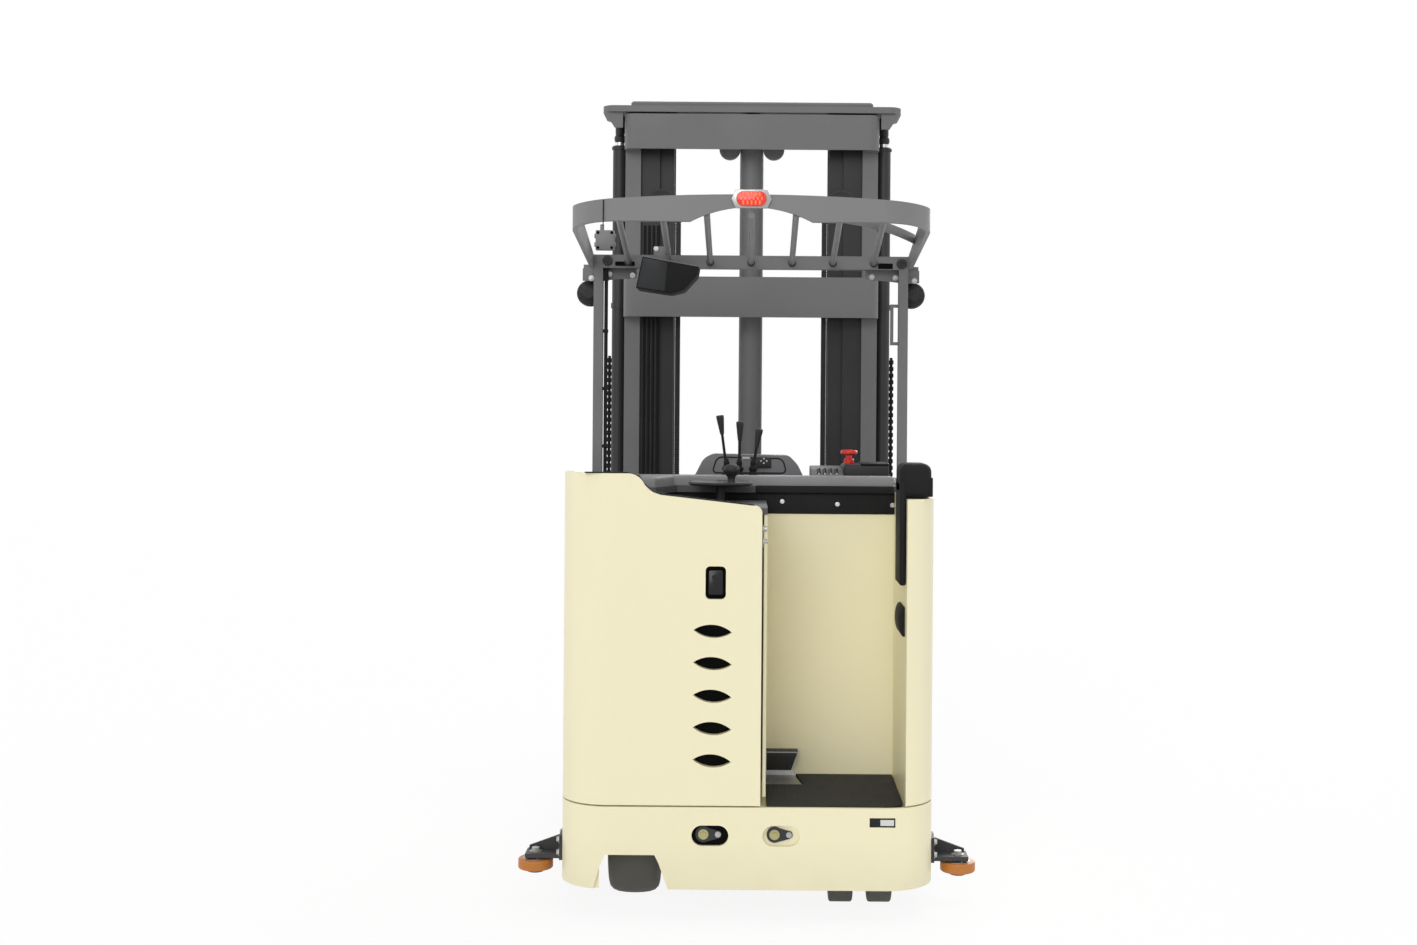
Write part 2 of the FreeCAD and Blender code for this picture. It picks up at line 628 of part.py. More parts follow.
def guard_bars():
    """Seven round bars over the driver's head."""
    made = []
    y0, y1 = HOOP_BACK + HOOP_T + SEAT, POST_Y - FRONT_BAR_D / 2 - SEAT
    room = box(-HOOP_HALF, HOOP_HALF, y0, y1, 1990, 2260)
    for i in range(7):
        front_x = (i - 3) * 142.0
        rear_x = (i - 3) * 136.0
        bar = rod(BAR_R, (rear_x, y0 - 20, 2152), (front_x, y1 + 20, 2066))
        made.append(bar.common(room))
    return Part.makeCompound(made)


def work_lamps():
    """Two round lamps hung under the guard's front straps."""
    x, y, z = LAMP_X, POST_Y + 30, LAMP_Z
    shell = Part.makeCone(LAMP_R - 20, LAMP_R, 38, V(x, y, z), V(0, 1, 0))
    rim = rod(LAMP_R, (x, y + 37, z), (x, y + 57, z))
    stalk = rod(7, (x, y + 46, z + LAMP_R - 1), (x, y + 46, LAMP_STRAP_Z - SEAT))
    return pair(fuse(shell, rim, stalk))


def tail_lamp():
    """Red lamp in a bright bezel on the hoop."""
    y = HOOP_BACK - SEAT
    bezel = plate_y([(-62, 2197), (-48, 2168), (48, 2168), (62, 2197), (48, 2226), (-48, 2226)], y - 8, y)
    lens = box(-45, 45, y - 21, y - 7, 2174, 2220)
    return fuse(bezel, lens.makeFillet(6, lens.Edges[:4]))


def monitor_box():
    """Black screen housing hung from the front bar."""
    y1 = POST_Y - FRONT_BAR_D / 2 - SEAT
    outline = [(-366, 2070), (-388, 1964), (-271, 1947), (-227, 1957), (-181, 2008), (-176, 2036)]
    body = plate_y(outline, y1 - 170, y1 - 20)
    lug = box(-340, -240, y1 - 21, y1, FRONT_BAR_Z - 12, FRONT_BAR_Z + 6)
    return fuse(body, lug)


def motor_block():
    """Drive motor and gear head over the turntable."""
    x, y, z = DRIVE_X, DRIVE_Y, MOUNT_Z
    half = TURN_R + 4
    plate = box(x - half, x + half, y - 130, y + 130, z, z + 14)
    legs = [box(x0, x0 + 8, y - 130, y + 130, SEAM_Z + SEAT, z + 1) for x0 in (x - half, x + half - 8)]
    fins = [tube(112, 104, (x, y, z + h), (x, y, z + h + 10)) for h in range(70, 400, 44)]
    plate = plate.cut(rod(RING_R, (x, y, z - 1), (x, y, z + 15)))
    can = rod(105, (x, y, z + 14), (x, y, z + 420))
    cap = rod(80, (x, y, z + 420), (x, y, z + 470))
    return fuse(plate, can, cap, *legs, *fins)


def drive_fork():
    """Steered yoke that carries the drive wheel from one side."""
    x, y = DRIVE_X, DRIVE_Y
    low = DRIVE_R * 2 + CLEAR
    ring = rod(RING_R - FIT, (x, y, MOUNT_Z - CLEAR), (x, y, MOUNT_Z + 14 - SEAT))
    crown = rod(124, (x, y, low), (x, y, MOUNT_Z - CLEAR + 1))
    cheek = box(x + DRIVE_W / 2 + CLEAR, x + 118, y - 52, y + 52, DRIVE_R - 60, low + 1)
    axle = rod(28, (x - DRIVE_W / 2, y, DRIVE_R), (x + 100, y, DRIVE_R))
    return fuse(crown, cheek, axle, ring)


def wheel(r, width, x, y, z, bore, groove=4):
    """Round-shouldered wheel about an axle that runs across the machine."""
    tyre = rod(r, (x - width / 2, y, z), (x + width / 2, y, z))
    tyre = tyre.makeFillet(8, [e for e in tyre.Edges if e.BoundBox.XLength < 0.1])
    for side in (-1, 1):
        x0 = x + side * width / 2
        ring = rod(r * 0.68, (x0, y, z), (x0 - side * groove, y, z))
        tyre = tyre.cut(ring)
    return tyre.cut(rod(bore + FIT, (x - width, y, z), (x + width, y, z)))


def drive_wheel():
    return wheel(DRIVE_R, DRIVE_W, DRIVE_X, DRIVE_Y, DRIVE_R, 28)


def caster_fork():
    """Swivelling stem between the twin wheels."""
    x, y = CASTER_X, CASTER_Y
    z = CASTER_R
    wy = y - CASTER_TRAIL
    top = MAT_Z - 8 - SEAT
    stem = rod(34, (x, y, top - 18), (x, y, top))
    plate = rod(70, (x, y, top - 40), (x, y, top - 17))
    arm = plate_x([(y - 30, top - 39), (y + 40, top - 39), (wy + 30, z - 24), (wy - 24, z - 24), (wy - 28, z + 30)],
                  x - CASTER_GAP / 2 + CLEAR, x + CASTER_GAP / 2 - CLEAR)
    half = CASTER_GAP / 2 + CASTER_W - 4
    axle = rod(16, (x - half, wy, z), (x + half, wy, z))
    return fuse(stem, plate, arm, axle)


def caster_wheels():
    """Twin wheels that turn together on the stem's axle."""
    made = []
    for side in (-1, 1):
        x = CASTER_X + side * (CASTER_GAP + CASTER_W) / 2
        made.append(wheel(CASTER_R, CASTER_W, x, CASTER_Y - CASTER_TRAIL, CASTER_R, 16))
    return Part.makeCompound(made)


def load_wheel(side):
    return wheel(LOAD_R, LOAD_W, side * LOAD_X, LOAD_Y, LOAD_R, 26)


def guide_roller(side, y):
    """Rail guide roller on an upright pin."""
    x = side * GUIDE_X
    z0, z1 = GUIDE_Z - GUIDE_T / 2, GUIDE_Z + GUIDE_T / 2
    tyre = rod(GUIDE_R, (x, y, z0), (x, y, z1))
    tyre = tyre.makeFillet(6, [e for e in tyre.Edges if e.BoundBox.ZLength < 0.1])
    return tyre.cut(rod(GUIDE_PIN_R + FIT, (x, y, z0 - 1), (x, y, z1 + 1)))


def guide_bracket(side, y, inner):
    """Arm, gusset and pin that carry one guide roller."""
    x = GUIDE_X
    z1 = GUIDE_Z + GUIDE_T / 2 + CLEAR
    flange = box(inner, inner + 12, y - 55, y + 60, z1, z1 + 78)
    arm = box(inner, x + 30, y - 34, y + 40, z1, z1 + 14)
    slant = [(inner + 11, z1 + 13), (x + 24, z1 + 13), (x + 24, z1 + 24), (inner + 11, z1 + 62)]
    gusset = plate_y(slant, y + 28, y + 38)
    pin = rod(GUIDE_PIN_R, (x, y, GUIDE_Z - GUIDE_T / 2 - 6), (x, y, z1 + 1))
    washer = rod(26, (x, y, GUIDE_Z - GUIDE_T / 2 - 10), (x, y, GUIDE_Z - GUIDE_T / 2 - 5))
    made = fuse(flange, arm, gusset, pin, washer)
    return made if side > 0 else mirrored(made)


def guide_brackets(y, inner):
    return Part.makeCompound([guide_bracket(s, y, inner) for s in (-1, 1)])


def chassis_frame():
    """Base plate, battery tray and the two straddle legs."""
    back = BAY_DEPTH + SEAT
    base = box(-LEG_IN, LEG_IN, back, LEG_BACK, CHASSIS_Z, CHASSIS_TOP)
    tray = box(-BODY_HALF + 2, BODY_HALF - 2, back, LEG_BACK, CHASSIS_TOP - 20, CHASSIS_TOP)
    swing = rod(TURN_R, (DRIVE_X, DRIVE_Y, 0), (DRIVE_X, DRIVE_Y, CHASSIS_TOP + 1))
    base = base.cut(swing)
    tray = tray.cut(swing)
    cross = box(-LEG_IN, LEG_IN, LEG_BACK - 10, MAST_REAR - 60, CHASSIS_Z, CHASSIS_TOP)
    frame = fuse(base, tray, cross)
    for side in (-1, 1):
        leg = fuse(box(LEG_IN - 1, LEG_OUT, LEG_BACK - 60, LEG_SOLID, CHASSIS_Z, CHASSIS_TOP),
                   box(LEG_IN, LEG_OUT, HULL_FRONT + SEAT, LEG_SOLID, CHASSIS_TOP - 1, CHASSIS_TOP + 20))
        y0, y1 = LEG_SOLID - 1, LEG_FRONT
        profile = [(y0, CHASSIS_Z), (y1 - 60, CHASSIS_Z), (y1, CHASSIS_Z + 70), (y1, 250), (y1 - 90, LEG_TOP),
                   (y0 + 60, LEG_TOP), (y0, CHASSIS_TOP + 20)]
        cheeks = fuse(plate_x(profile, LEG_IN, LEG_IN + LEG_PLATE), plate_x(profile, LEG_OUT - LEG_PLATE, LEG_OUT))
        nose = box(LEG_IN, LEG_OUT, y1 - 8, y1, CHASSIS_Z + 72, 248)
        pin = rod(26, (LEG_IN, LOAD_Y, LOAD_R), (LEG_OUT, LOAD_Y, LOAD_R))
        made = fuse(leg, cheeks, nose, pin)
        frame = fuse(frame, made if side > 0 else mirrored(made))
    foot = box(-LEG_IN, LEG_IN, MAST_REAR - 61, MAST_REAR + RAIL_DEPTH - 10, CHASSIS_Z - 36, MAST_FOOT - SEAT)
    link = box(-LEG_IN, LEG_IN, MAST_REAR - 70, MAST_REAR - 61, CHASSIS_Z - 36, CHASSIS_Z + 60)
    return fuse(frame, foot, link, *[box(x, x + 30, 1300, MAST_REAR + 150, CHASSIS_Z - 36, CHASSIS_Z + 1)
                                     for x in (-LEG_IN - 26, LEG_IN - 4)])


def rail(web, lip, inset, z0, z1):
    """Channel of one mast stage, open towards the middle."""
    y0, y1 = MAST_REAR + inset, MAST_REAR + RAIL_DEPTH - inset
    outline = [(web, y0), (web, y1), (lip, y1), (lip, y1 - RAIL_T), (web - RAIL_T, y1 - RAIL_T),
               (web - RAIL_T, y0 + RAIL_T), (lip, y0 + RAIL_T), (lip, y0)]
    return plate_z(outline, z0, z1)


def stage_rollers(web, reach, gap, zs):
    """Guide rollers outside a rail, inside the next channel out."""
    y = MAST_REAR + RAIL_DEPTH / 2
    return [rod(gap, (web - 1, y, z), (web + reach, y, z)) for z in zs]


def tie(z0, z1, half, y0, y1, r=36.0):
    """Cross plate with rounded ends, behind the rails."""
    block = box(-half, half, y0, y1, z0, z1)
    return block.makeFillet(r, [e for e in block.Edges if upright(e) and e.Vertexes[0].Point.y < y0 + 1])


def mast_outer():
    side = rail(OUTER_WEB, OUTER_LIP, 0, MAST_FOOT, OUTER_TOP)
    y1 = MAST_REAR + 1
    top = tie(TIE_Z, OUTER_TOP, TIE_HALF, y1 - TIE_DEPTH, y1)
    half, back = TIE_HALF - 60, y1 - TIE_DEPTH + 12
    top = top.cut(box(-half, half, back, y1 + 1, TIE_Z - 1, OUTER_TOP - 12))
    low = tie(LOW_TIE_Z, LOW_TIE_Z + LOW_TIE_H, TIE_HALF, y1 - TIE_DEPTH, y1)
    low = low.cut(box(-half, half, back, y1 + 1, LOW_TIE_Z - 1, LOW_TIE_Z + LOW_TIE_H - 12))
    base = box(-OUTER_WEB, OUTER_WEB, y1 - 20, y1, MAST_FOOT, 480)
    return fuse(side, mirrored(side), top, low, base)


def mast_middle():
    side = rail(MIDDLE_WEB, MIDDLE_LIP, RAIL_STEP, MAST_FOOT + 26, TOP_PLATE_Z + 1)
    reach = OUTER_WEB - RAIL_T - MIDDLE_WEB - CLEAR
    rollers = stage_rollers(MIDDLE_WEB, reach, RAIL_DEPTH / 2 - RAIL_T - SEAT, MIDDLE_ROLLERS)
    side = fuse(side, *rollers)
    y0, y1 = MAST_REAR - 58, MAST_REAR + RAIL_DEPTH
    z0, z1 = TOP_PLATE_Z, TOP_PLATE_Z + TOP_PLATE_T
    plate = box(-TOP_PLATE_HALF, TOP_PLATE_HALF, y0, y1, z0, z1)
    plate = plate.makeFillet(48, [e for e in plate.Edges if upright(e)])
    gap = INNER_WEB + CLEAR
    plate = plate.cut(box(-gap, gap, MAST_REAR + 2 * RAIL_STEP - CLEAR, y1 + 1, z0 - 1, z1 + 1))
    out, low = TOP_PLATE_HALF - 6, z0 - EAR_DROP
    ear = plate_y([(out, z0 + 1), (out - EAR_IN, low), (TIE_HALF + CLEAR, low), (TIE_HALF + CLEAR, z0 + 1)],
                  y0 + 12, y0 + 22)
    return fuse(plate, side, mirrored(side), ear, mirrored(ear))


def lift_rods():
    """Polished rods that push the middle stage's ears, with their ball ends."""
    made = rod(ROD_R, (CYL_X, CYL_Y, 320), (CYL_X, CYL_Y, TOP_PLATE_Z - SEAT))
    ball = Part.makeSphere(ROD_END_R, V(CYL_X, CYL_Y, CYL_TOP + CLEAR + 36))
    return pair(fuse(made, ball))


def lift_cylinders():
    """Tubes of the two side cylinders, with a gland and a foot."""
    z0, z1 = CHASSIS_TOP + 20 + SEAT, CYL_TOP
    a, b = (CYL_X, CYL_Y, z0), (CYL_X, CYL_Y, z1)
    body = rod(CYL_R, a, b).cut(rod(CYL_BORE, (CYL_X, CYL_Y, z0 + 30), (CYL_X, CYL_Y, z1 - 40)))
    body = body.cut(rod(ROD_R + FIT, (CYL_X, CYL_Y, z1 - 41), (CYL_X, CYL_Y, z1 + 1)))
    foot = box(CYL_X - 10, LEG_OUT - 20, CYL_Y - 40, CYL_Y + 40, z0, z0 + 16)
    foot = foot.cut(rod(CYL_R - 5, a, b))
    return pair(fuse(body, foot))


def mast_inner():
    side = rail(INNER_WEB, INNER_LIP, 2 * RAIL_STEP, MAST_FOOT + 46, TOP_PLATE_Z + 31)
    reach = MIDDLE_WEB - RAIL_T - INNER_WEB - CLEAR
    rollers = stage_rollers(INNER_WEB, reach, RAIL_DEPTH / 2 - RAIL_STEP - RAIL_T - SEAT, INNER_ROLLERS)
    side = fuse(side, *rollers)
    y0, y1 = MAST_REAR + 2 * RAIL_STEP, MAST_REAR + RAIL_DEPTH - 2 * RAIL_STEP
    z0 = TOP_PLATE_Z + TOP_PLATE_T + CLEAR
    cap = box(-CAP_HALF, CAP_HALF, y0, y1, z0, z0 + CAP_T)
    cap = cap.makeChamfer(8, [e for e in cap.Edges if e.BoundBox.ZMin > z0 + CAP_T - 1])
    foot = box(-INNER_WEB, INNER_WEB, y0, y0 + 30, MAST_FOOT + 46, MAST_FOOT + 126)
    return fuse(side, mirrored(side), cap, foot)


def centre_cylinder():
    """Column in the middle of the mast with its chain head."""
    y = MAST_REAR + RAIL_DEPTH / 2 - 20
    z0 = MAST_FOOT + 126 + SEAT
    body = rod(COLUMN_R, (0, y, z0), (0, y, COLUMN_TOP))
    head = box(-132, 132, y - 12, y + 12, COLUMN_TOP - 1, COLUMN_TOP + 40)
    wheels = []
    for side in (-1, 1):
        x = side * HEAD_SHEAVE_X
        wheels.append(rod(HEAD_SHEAVE_R, (x, y - 34, HEAD_SHEAVE_Z), (x, y - 11, HEAD_SHEAVE_Z)))
    post = rod(30, (0, y, COLUMN_TOP + 20), (0, y, TOP_PLATE_Z + TOP_PLATE_T + CLEAR - SEAT))
    foot = box(-60, 60, MAST_REAR + 2 * RAIL_STEP, y + 46, z0, z0 + 20)
    return fuse(body, head, post, foot, *wheels)


def chain_sheaves():
    """Side sheaves of the middle stage, with the leaf chains below them."""
    made = []
    y0 = MAST_REAR + CLEAR + 1
    y1 = MAST_REAR + RAIL_STEP - SEAT
    for side in (-1, 1):
        x = side * (CHAIN_X + SHEAVE_R)
        disc = rod(SHEAVE_R, (x, y0, SHEAVE_Z), (x, y1, SHEAVE_Z))
        inner = side * CHAIN_X
        run = box(inner - CHAIN_W / 2, inner + CHAIN_W / 2, y0, y1, CHAIN_LOW, SHEAVE_Z)
        made.append(fuse(disc, run))
    return Part.makeCompound(made)


def hose_bundle():
    """Row of hoses down the back of the middle stage."""
    y = MAST_REAR + RAIL_STEP - HOSE_R - SEAT
    made = []
    for i in range(4):
        x = -MIDDLE_LIP - 5.5 - HOSE_PITCH * i
        made.append(rod(HOSE_R, (x, y, CHAIN_LOW), (x, y, SHEAVE_Z - SHEAVE_R - 10)))
    return Part.makeCompound(made)


def carriage():
    """Lift carriage with its rollers inside the inner rails."""
    y0 = CARRIAGE_Y
    half = CARRIAGE_HALF
    x1 = half - 20
    plate = box(-half, half, y0, y0 + CARRIAGE_T, CARRIAGE_Z, CARRIAGE_TOP)
    window = box(110 - half, half - 110, y0 - 1, y0 + CARRIAGE_T + 1, CARRIAGE_Z + 110, CARRIAGE_TOP - 110)
    web = box(x1 - CARRIAGE_WEB, x1, MAST_REAR + 70, y0 + 1, CARRIAGE_Z, CARRIAGE_TOP)
    reach = INNER_WEB - RAIL_T - CLEAR
    r = RAIL_DEPTH / 2 - 2 * RAIL_STEP - RAIL_T - SEAT
    y = MAST_REAR + RAIL_DEPTH / 2
    wheels = [rod(r, (x1 - 1, y, z), (reach, y, z)) for z in (CARRIAGE_Z + 60, CARRIAGE_TOP - 60)]
    side = fuse(web, *wheels)
    return fuse(plate.cut(window), side, mirrored(side))


def traverse_frame():
    """Two cross beams with a toothed rack, between end plates."""
    y0 = CARRIAGE_Y + CARRIAGE_T + SEAT
    y1 = y0 + BEAM_D
    made = []
    for z in (CARRIAGE_Z, CARRIAGE_TOP - BEAM_H):
        made.append(box(-BEAM_HALF, BEAM_HALF, y0, y1, z, z + BEAM_H))
    for x in (-BEAM_HALF, BEAM_HALF - 20):
        made.append(box(x, x + 20, y0, y1, CARRIAGE_Z, CARRIAGE_TOP))
    return fuse(*made)


def head_slide():
    """Slide on the beams, with the arms that hold the upright pivot."""
    y0 = CARRIAGE_Y + CARRIAGE_T + SEAT + BEAM_D + SEAT
    z0, z1 = CARRIAGE_Z - 4, CARRIAGE_TOP + 30
    back = box(-HEAD_HALF, HEAD_HALF, y0, y0 + HEAD_T, z0, z1)
    hook = box(-HEAD_HALF, HEAD_HALF, y0 - 60, y0 + 1, CARRIAGE_TOP + SEAT, z1)
    arms = []
    for z, rise in ((CARRIAGE_TOP - 70, -150), (600, 150)):
        profile = [(y0 + HEAD_T - 1, z), (PIVOT_Y, z), (PIVOT_Y, z + 80), (y0 + HEAD_T - 1, z + 80)]
        gusset = [(y0 + HEAD_T - 1, z + 40), (PIVOT_Y - 200, z + 40), (y0 + HEAD_T - 1, z + 40 + rise)]
        arms.append(plate_x(profile, -ARM_HALF, ARM_HALF))
        arms.append(plate_x(gusset, -16, 16))
        arms.append(rod(ARM_HALF, (0, PIVOT_Y, z), (0, PIVOT_Y, z + 80)))
    body = fuse(back, hook, *arms)
    return body.cut(rod(PIVOT_R + FIT, (0, PIVOT_Y, 500), (0, PIVOT_Y, CARRIAGE_TOP + 60)))


def swivel_head():
    """Pivot column with the fork carrier hung from it."""
    y = PIVOT_Y
    column = rod(PIVOT_R, (0, y, 110), (0, y, CARRIAGE_TOP + 30))
    collar = rod(PIVOT_R + 24, (0, y, 560), (0, y, 600 - SEAT))
    y0, y1 = y + CARRIER_Y, y + CARRIER_Y + CARRIER_T
    plate = box(-CARRIER_HALF, CARRIER_HALF, y0, y1, 110, 500)
    window = box(-150, 150, y0 - 1, y1 + 1, 230, 390)
    ribs = [box(x - 12, x + 12, y - 10, y0 + 1, 110, 500) for x in (-44, 44)]
    return fuse(column, collar, plate.cut(window), *ribs)


def forks():
    """Two forks hooked on the carrier's upper and lower edges."""
    y0 = PIVOT_Y + CARRIER_Y + CARRIER_T + SEAT
    made = []
    for x in (-FORK_X, FORK_X):
        profile = [(y0, FORK_Z), (y0 + FORK_T + FORK_LEN, FORK_Z), (y0 + FORK_T + FORK_LEN, FORK_Z + 10),
                   (y0 + FORK_T + FORK_LEN - 500, FORK_Z + FORK_T), (y0 + FORK_T + 12, FORK_Z + FORK_T),
                   (y0 + FORK_T, FORK_Z + FORK_T + 12), (y0 + FORK_T, SHANK_TOP), (y0, SHANK_TOP)]
        fork = plate_x(profile, x - FORK_W / 2, x + FORK_W / 2)
        hook = box(x - FORK_W / 2, x + FORK_W / 2, y0 - 24, y0 + 1, 500 + SEAT, 526)
        made.append(fuse(fork, hook))
    return Part.makeCompound(made)


def main():
    shapes = {
        "chassis_frame": chassis_frame(),
        "lower_body": lower_body(),
        "body_fittings": group(tie_links(), door_hinge()),
        "rear_door": rear_door(),
        "right_wall": right_wall(),
        "bay_walls": group(cabin_partition(), left_side_panel()),
        "battery_cover": battery_cover(),
        "console": group(console(), bay_cover()),
        "control_pods": group(display_pod(), armrest_pod()),
        "e_stop": e_stop(),
        "control_levers": control_levers(),
        "steering_wheel": steering_wheel(),
        "platform_mat": platform_mat(),
        "pedal": pedal(),
        "driver_pads": group(backrest_pad(), hip_pad(), apron()),
        "guard_roof": group(guard_hoop(), guard_bars()),
        "guard_frame": guard_frame(),
        "work_lamps": work_lamps(),
        "tail_lamp": tail_lamp(),
        "monitor_box": monitor_box(),
        "motor_block": motor_block(),
        "drive_fork": drive_fork(),
        "drive_wheel": drive_wheel(),
        "caster_fork": caster_fork(),
        "caster_wheels": caster_wheels(),
        "load_wheel_left": load_wheel(-1),
        "load_wheel_right": load_wheel(1),
        "guide_brackets": group(guide_brackets(GUIDE_Y, BODY_HALF + SEAT),
                                guide_brackets(GUIDE_FRONT_Y, LEG_OUT + SEAT)),
        "mast_outer": mast_outer(),
        "mast_middle": mast_middle(),
        "lift_rods": lift_rods(),
        "lift_cylinders": lift_cylinders(),
        "mast_inner": mast_inner(),
        "centre_cylinder": centre_cylinder(),
        "chain_sheaves": chain_sheaves(),
        "hose_bundle": hose_bundle(),
        "carriage": carriage(),
        "traverse_frame": traverse_frame(),
        "head_slide": head_slide(),
        "swivel_head": swivel_head(),
        "forks": forks(),
    }
    for end, y in (("rear", GUIDE_Y), ("front", GUIDE_FRONT_Y)):
        for name, side in (("left", -1), ("right", 1)):
            shapes["guide_roller_%s_%s" % (end, name)] = guide_roller(side, y)
    for name, shape in shapes.items():
        print(name, len(shape.Solids), shape.isValid(), round(shape.Volume / 1e6, 2), "litres")
    export(shapes)


main()
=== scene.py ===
"""Dresses a three-way narrow-aisle stacker: finishes, lamps, controls, pads, chains and small fittings."""

import math

import bmesh
import bpy
from bpy.props import FloatProperty, FloatVectorProperty, IntProperty, PointerProperty
from mathutils import Euler, Matrix, Vector


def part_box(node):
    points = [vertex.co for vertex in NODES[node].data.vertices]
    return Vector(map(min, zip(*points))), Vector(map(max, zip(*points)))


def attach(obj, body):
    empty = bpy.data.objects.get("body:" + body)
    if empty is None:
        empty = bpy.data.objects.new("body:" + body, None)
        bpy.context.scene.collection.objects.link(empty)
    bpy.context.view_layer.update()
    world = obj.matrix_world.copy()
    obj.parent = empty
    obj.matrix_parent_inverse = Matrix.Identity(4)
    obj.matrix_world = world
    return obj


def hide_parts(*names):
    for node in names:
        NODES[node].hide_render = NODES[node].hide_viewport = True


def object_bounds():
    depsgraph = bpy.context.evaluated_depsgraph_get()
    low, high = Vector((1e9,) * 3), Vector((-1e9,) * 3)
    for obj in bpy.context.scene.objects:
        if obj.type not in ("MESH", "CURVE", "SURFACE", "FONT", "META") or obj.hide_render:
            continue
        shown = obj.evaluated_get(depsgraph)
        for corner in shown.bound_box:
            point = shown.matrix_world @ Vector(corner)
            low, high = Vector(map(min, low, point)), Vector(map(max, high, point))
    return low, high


bl_info = {
    "name": "Three-way stacker dresser",
    "version": (1, 0, 0),
    "blender": (4, 5, 0),
    "location": "View3D > Sidebar > Stacker",
    "description": "Adds finishes and fittings to a three-way narrow-aisle stacker",
    "category": "Object",
}

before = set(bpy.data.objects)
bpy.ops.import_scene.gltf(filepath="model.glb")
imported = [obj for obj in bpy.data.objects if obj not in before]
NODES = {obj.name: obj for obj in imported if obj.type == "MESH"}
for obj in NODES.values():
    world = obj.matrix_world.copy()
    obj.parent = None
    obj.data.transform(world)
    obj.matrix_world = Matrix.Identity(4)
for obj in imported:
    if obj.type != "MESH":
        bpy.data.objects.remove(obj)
CAD_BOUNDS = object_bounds()
REAR = CAD_BOUNDS[0][1]

# The photograph's frame, in pixels, and where its level camera stands, in metres
FRAME_WIDTH = 1417.0
FRAME_HEIGHT = 945.0
FOCAL_PIXELS = 1649.0
AXIS_X = 750.0
AXIS_Y = 410.0
SENSOR_MM = 36.0


def linear(red, green, blue):
    """Screen colour of 0 to 255 as linear light."""
    made = []
    for value in (red, green, blue):
        c = value / 255.0
        made.append(c / 12.92 if c <= 0.04045 else ((c + 0.055) / 1.055) ** 2.4)
    return tuple(made)


class StackerColours(bpy.types.PropertyGroup):
    cream: FloatVectorProperty(name="Cream", description="Body paint", subtype="COLOR", size=3,
                               default=linear(242, 235, 200))
    mast: FloatVectorProperty(name="Mast grey", description="Paint of the mast's outer faces",
                              subtype="COLOR", size=3, default=linear(112, 112, 113))
    guard: FloatVectorProperty(name="Guard grey", description="Satin paint of the driver's guard",
                               subtype="COLOR", size=3, default=linear(126, 126, 127))
    # Dark grey of the inner rails: painted shade of the rails deep inside the mast
    rail: FloatVectorProperty(name="Rail grey", description="Inner rails of the mast, dark as painted shade",
                              subtype="COLOR", size=3, default=linear(36, 36, 38))
    dark: FloatVectorProperty(name="Dark steel", description="Paint of brackets and the fork head",
                              subtype="COLOR", size=3, default=linear(50, 50, 52))
    plastic: FloatVectorProperty(name="Black plastic", description="Moulded pods and housings",
                                 subtype="COLOR", size=3, default=linear(36, 36, 38))
    console: FloatVectorProperty(name="Console grey", description="Deck over the battery",
                                 subtype="COLOR", size=3, default=linear(84, 84, 86))
    urethane: FloatVectorProperty(name="Roller tread", description="Orange guide roller tread",
                                  subtype="COLOR", size=3, default=linear(192, 116, 42))
    lamp: FloatVectorProperty(name="Lamp red", description="Tail lamp and stop button",
                              subtype="COLOR", size=3, default=linear(224, 46, 28))


class StackerCamera(bpy.types.PropertyGroup):
    height: FloatProperty(name="Height", description="Camera above the floor", default=1.555, unit="LENGTH")
    distance: FloatProperty(name="Distance", description="Camera behind the rear face", default=5.0,
                            unit="LENGTH")
    roll: FloatProperty(name="Roll", description="Tilt of the horizon", default=math.radians(0.43),
                        subtype="ANGLE")


class StackerDetail(bpy.types.PropertyGroup):
    link_pitch: FloatProperty(name="Chain pitch", description="From pin to pin", default=0.019, unit="LENGTH")
    rib_pitch: FloatProperty(name="Hose rib pitch", description="From rib to rib", default=0.010,
                             unit="LENGTH")
    round_steps: IntProperty(name="Round steps", description="Flats on a round fitting", default=40, min=12)


def settings():
    return bpy.context.scene.stacker_colours


def detail():
    return bpy.context.scene.stacker_detail


# Shader groups

def new_group(name, inputs, outputs):
    """Empty node group; inputs are (name, kind, default), outputs (name, kind)."""
    group = bpy.data.node_groups.new(name, "ShaderNodeTree")
    for label, kind, default in inputs:
        socket = group.interface.new_socket(label, in_out="INPUT", socket_type=kind)
        socket.default_value = default
    for label, kind in outputs:
        group.interface.new_socket(label, in_out="OUTPUT", socket_type=kind)
    source = group.nodes.new("NodeGroupInput")
    sink = group.nodes.new("NodeGroupOutput")
    return group, source.outputs, sink.inputs


def noise_node(group, scale_socket, coordinates, detail_level=4.0):
    node = group.nodes.new("ShaderNodeTexNoise")
    node.inputs["Detail"].default_value = detail_level
    group.links.new(coordinates, node.inputs["Vector"])
    group.links.new(scale_socket, node.inputs["Scale"])
    return node


def maths(group, kind, first, second=None, clamp=False):
    """Output of one Math node; each input is a number or a socket."""
    node = group.nodes.new("ShaderNodeMath")
    node.operation = kind
    node.use_clamp = clamp
    for socket, value in zip(node.inputs, (first, second)):
        if value is None:
            continue
        if isinstance(value, (int, float)):
            socket.default_value = value
        else:
            group.links.new(value, socket)
    return node.outputs[0]


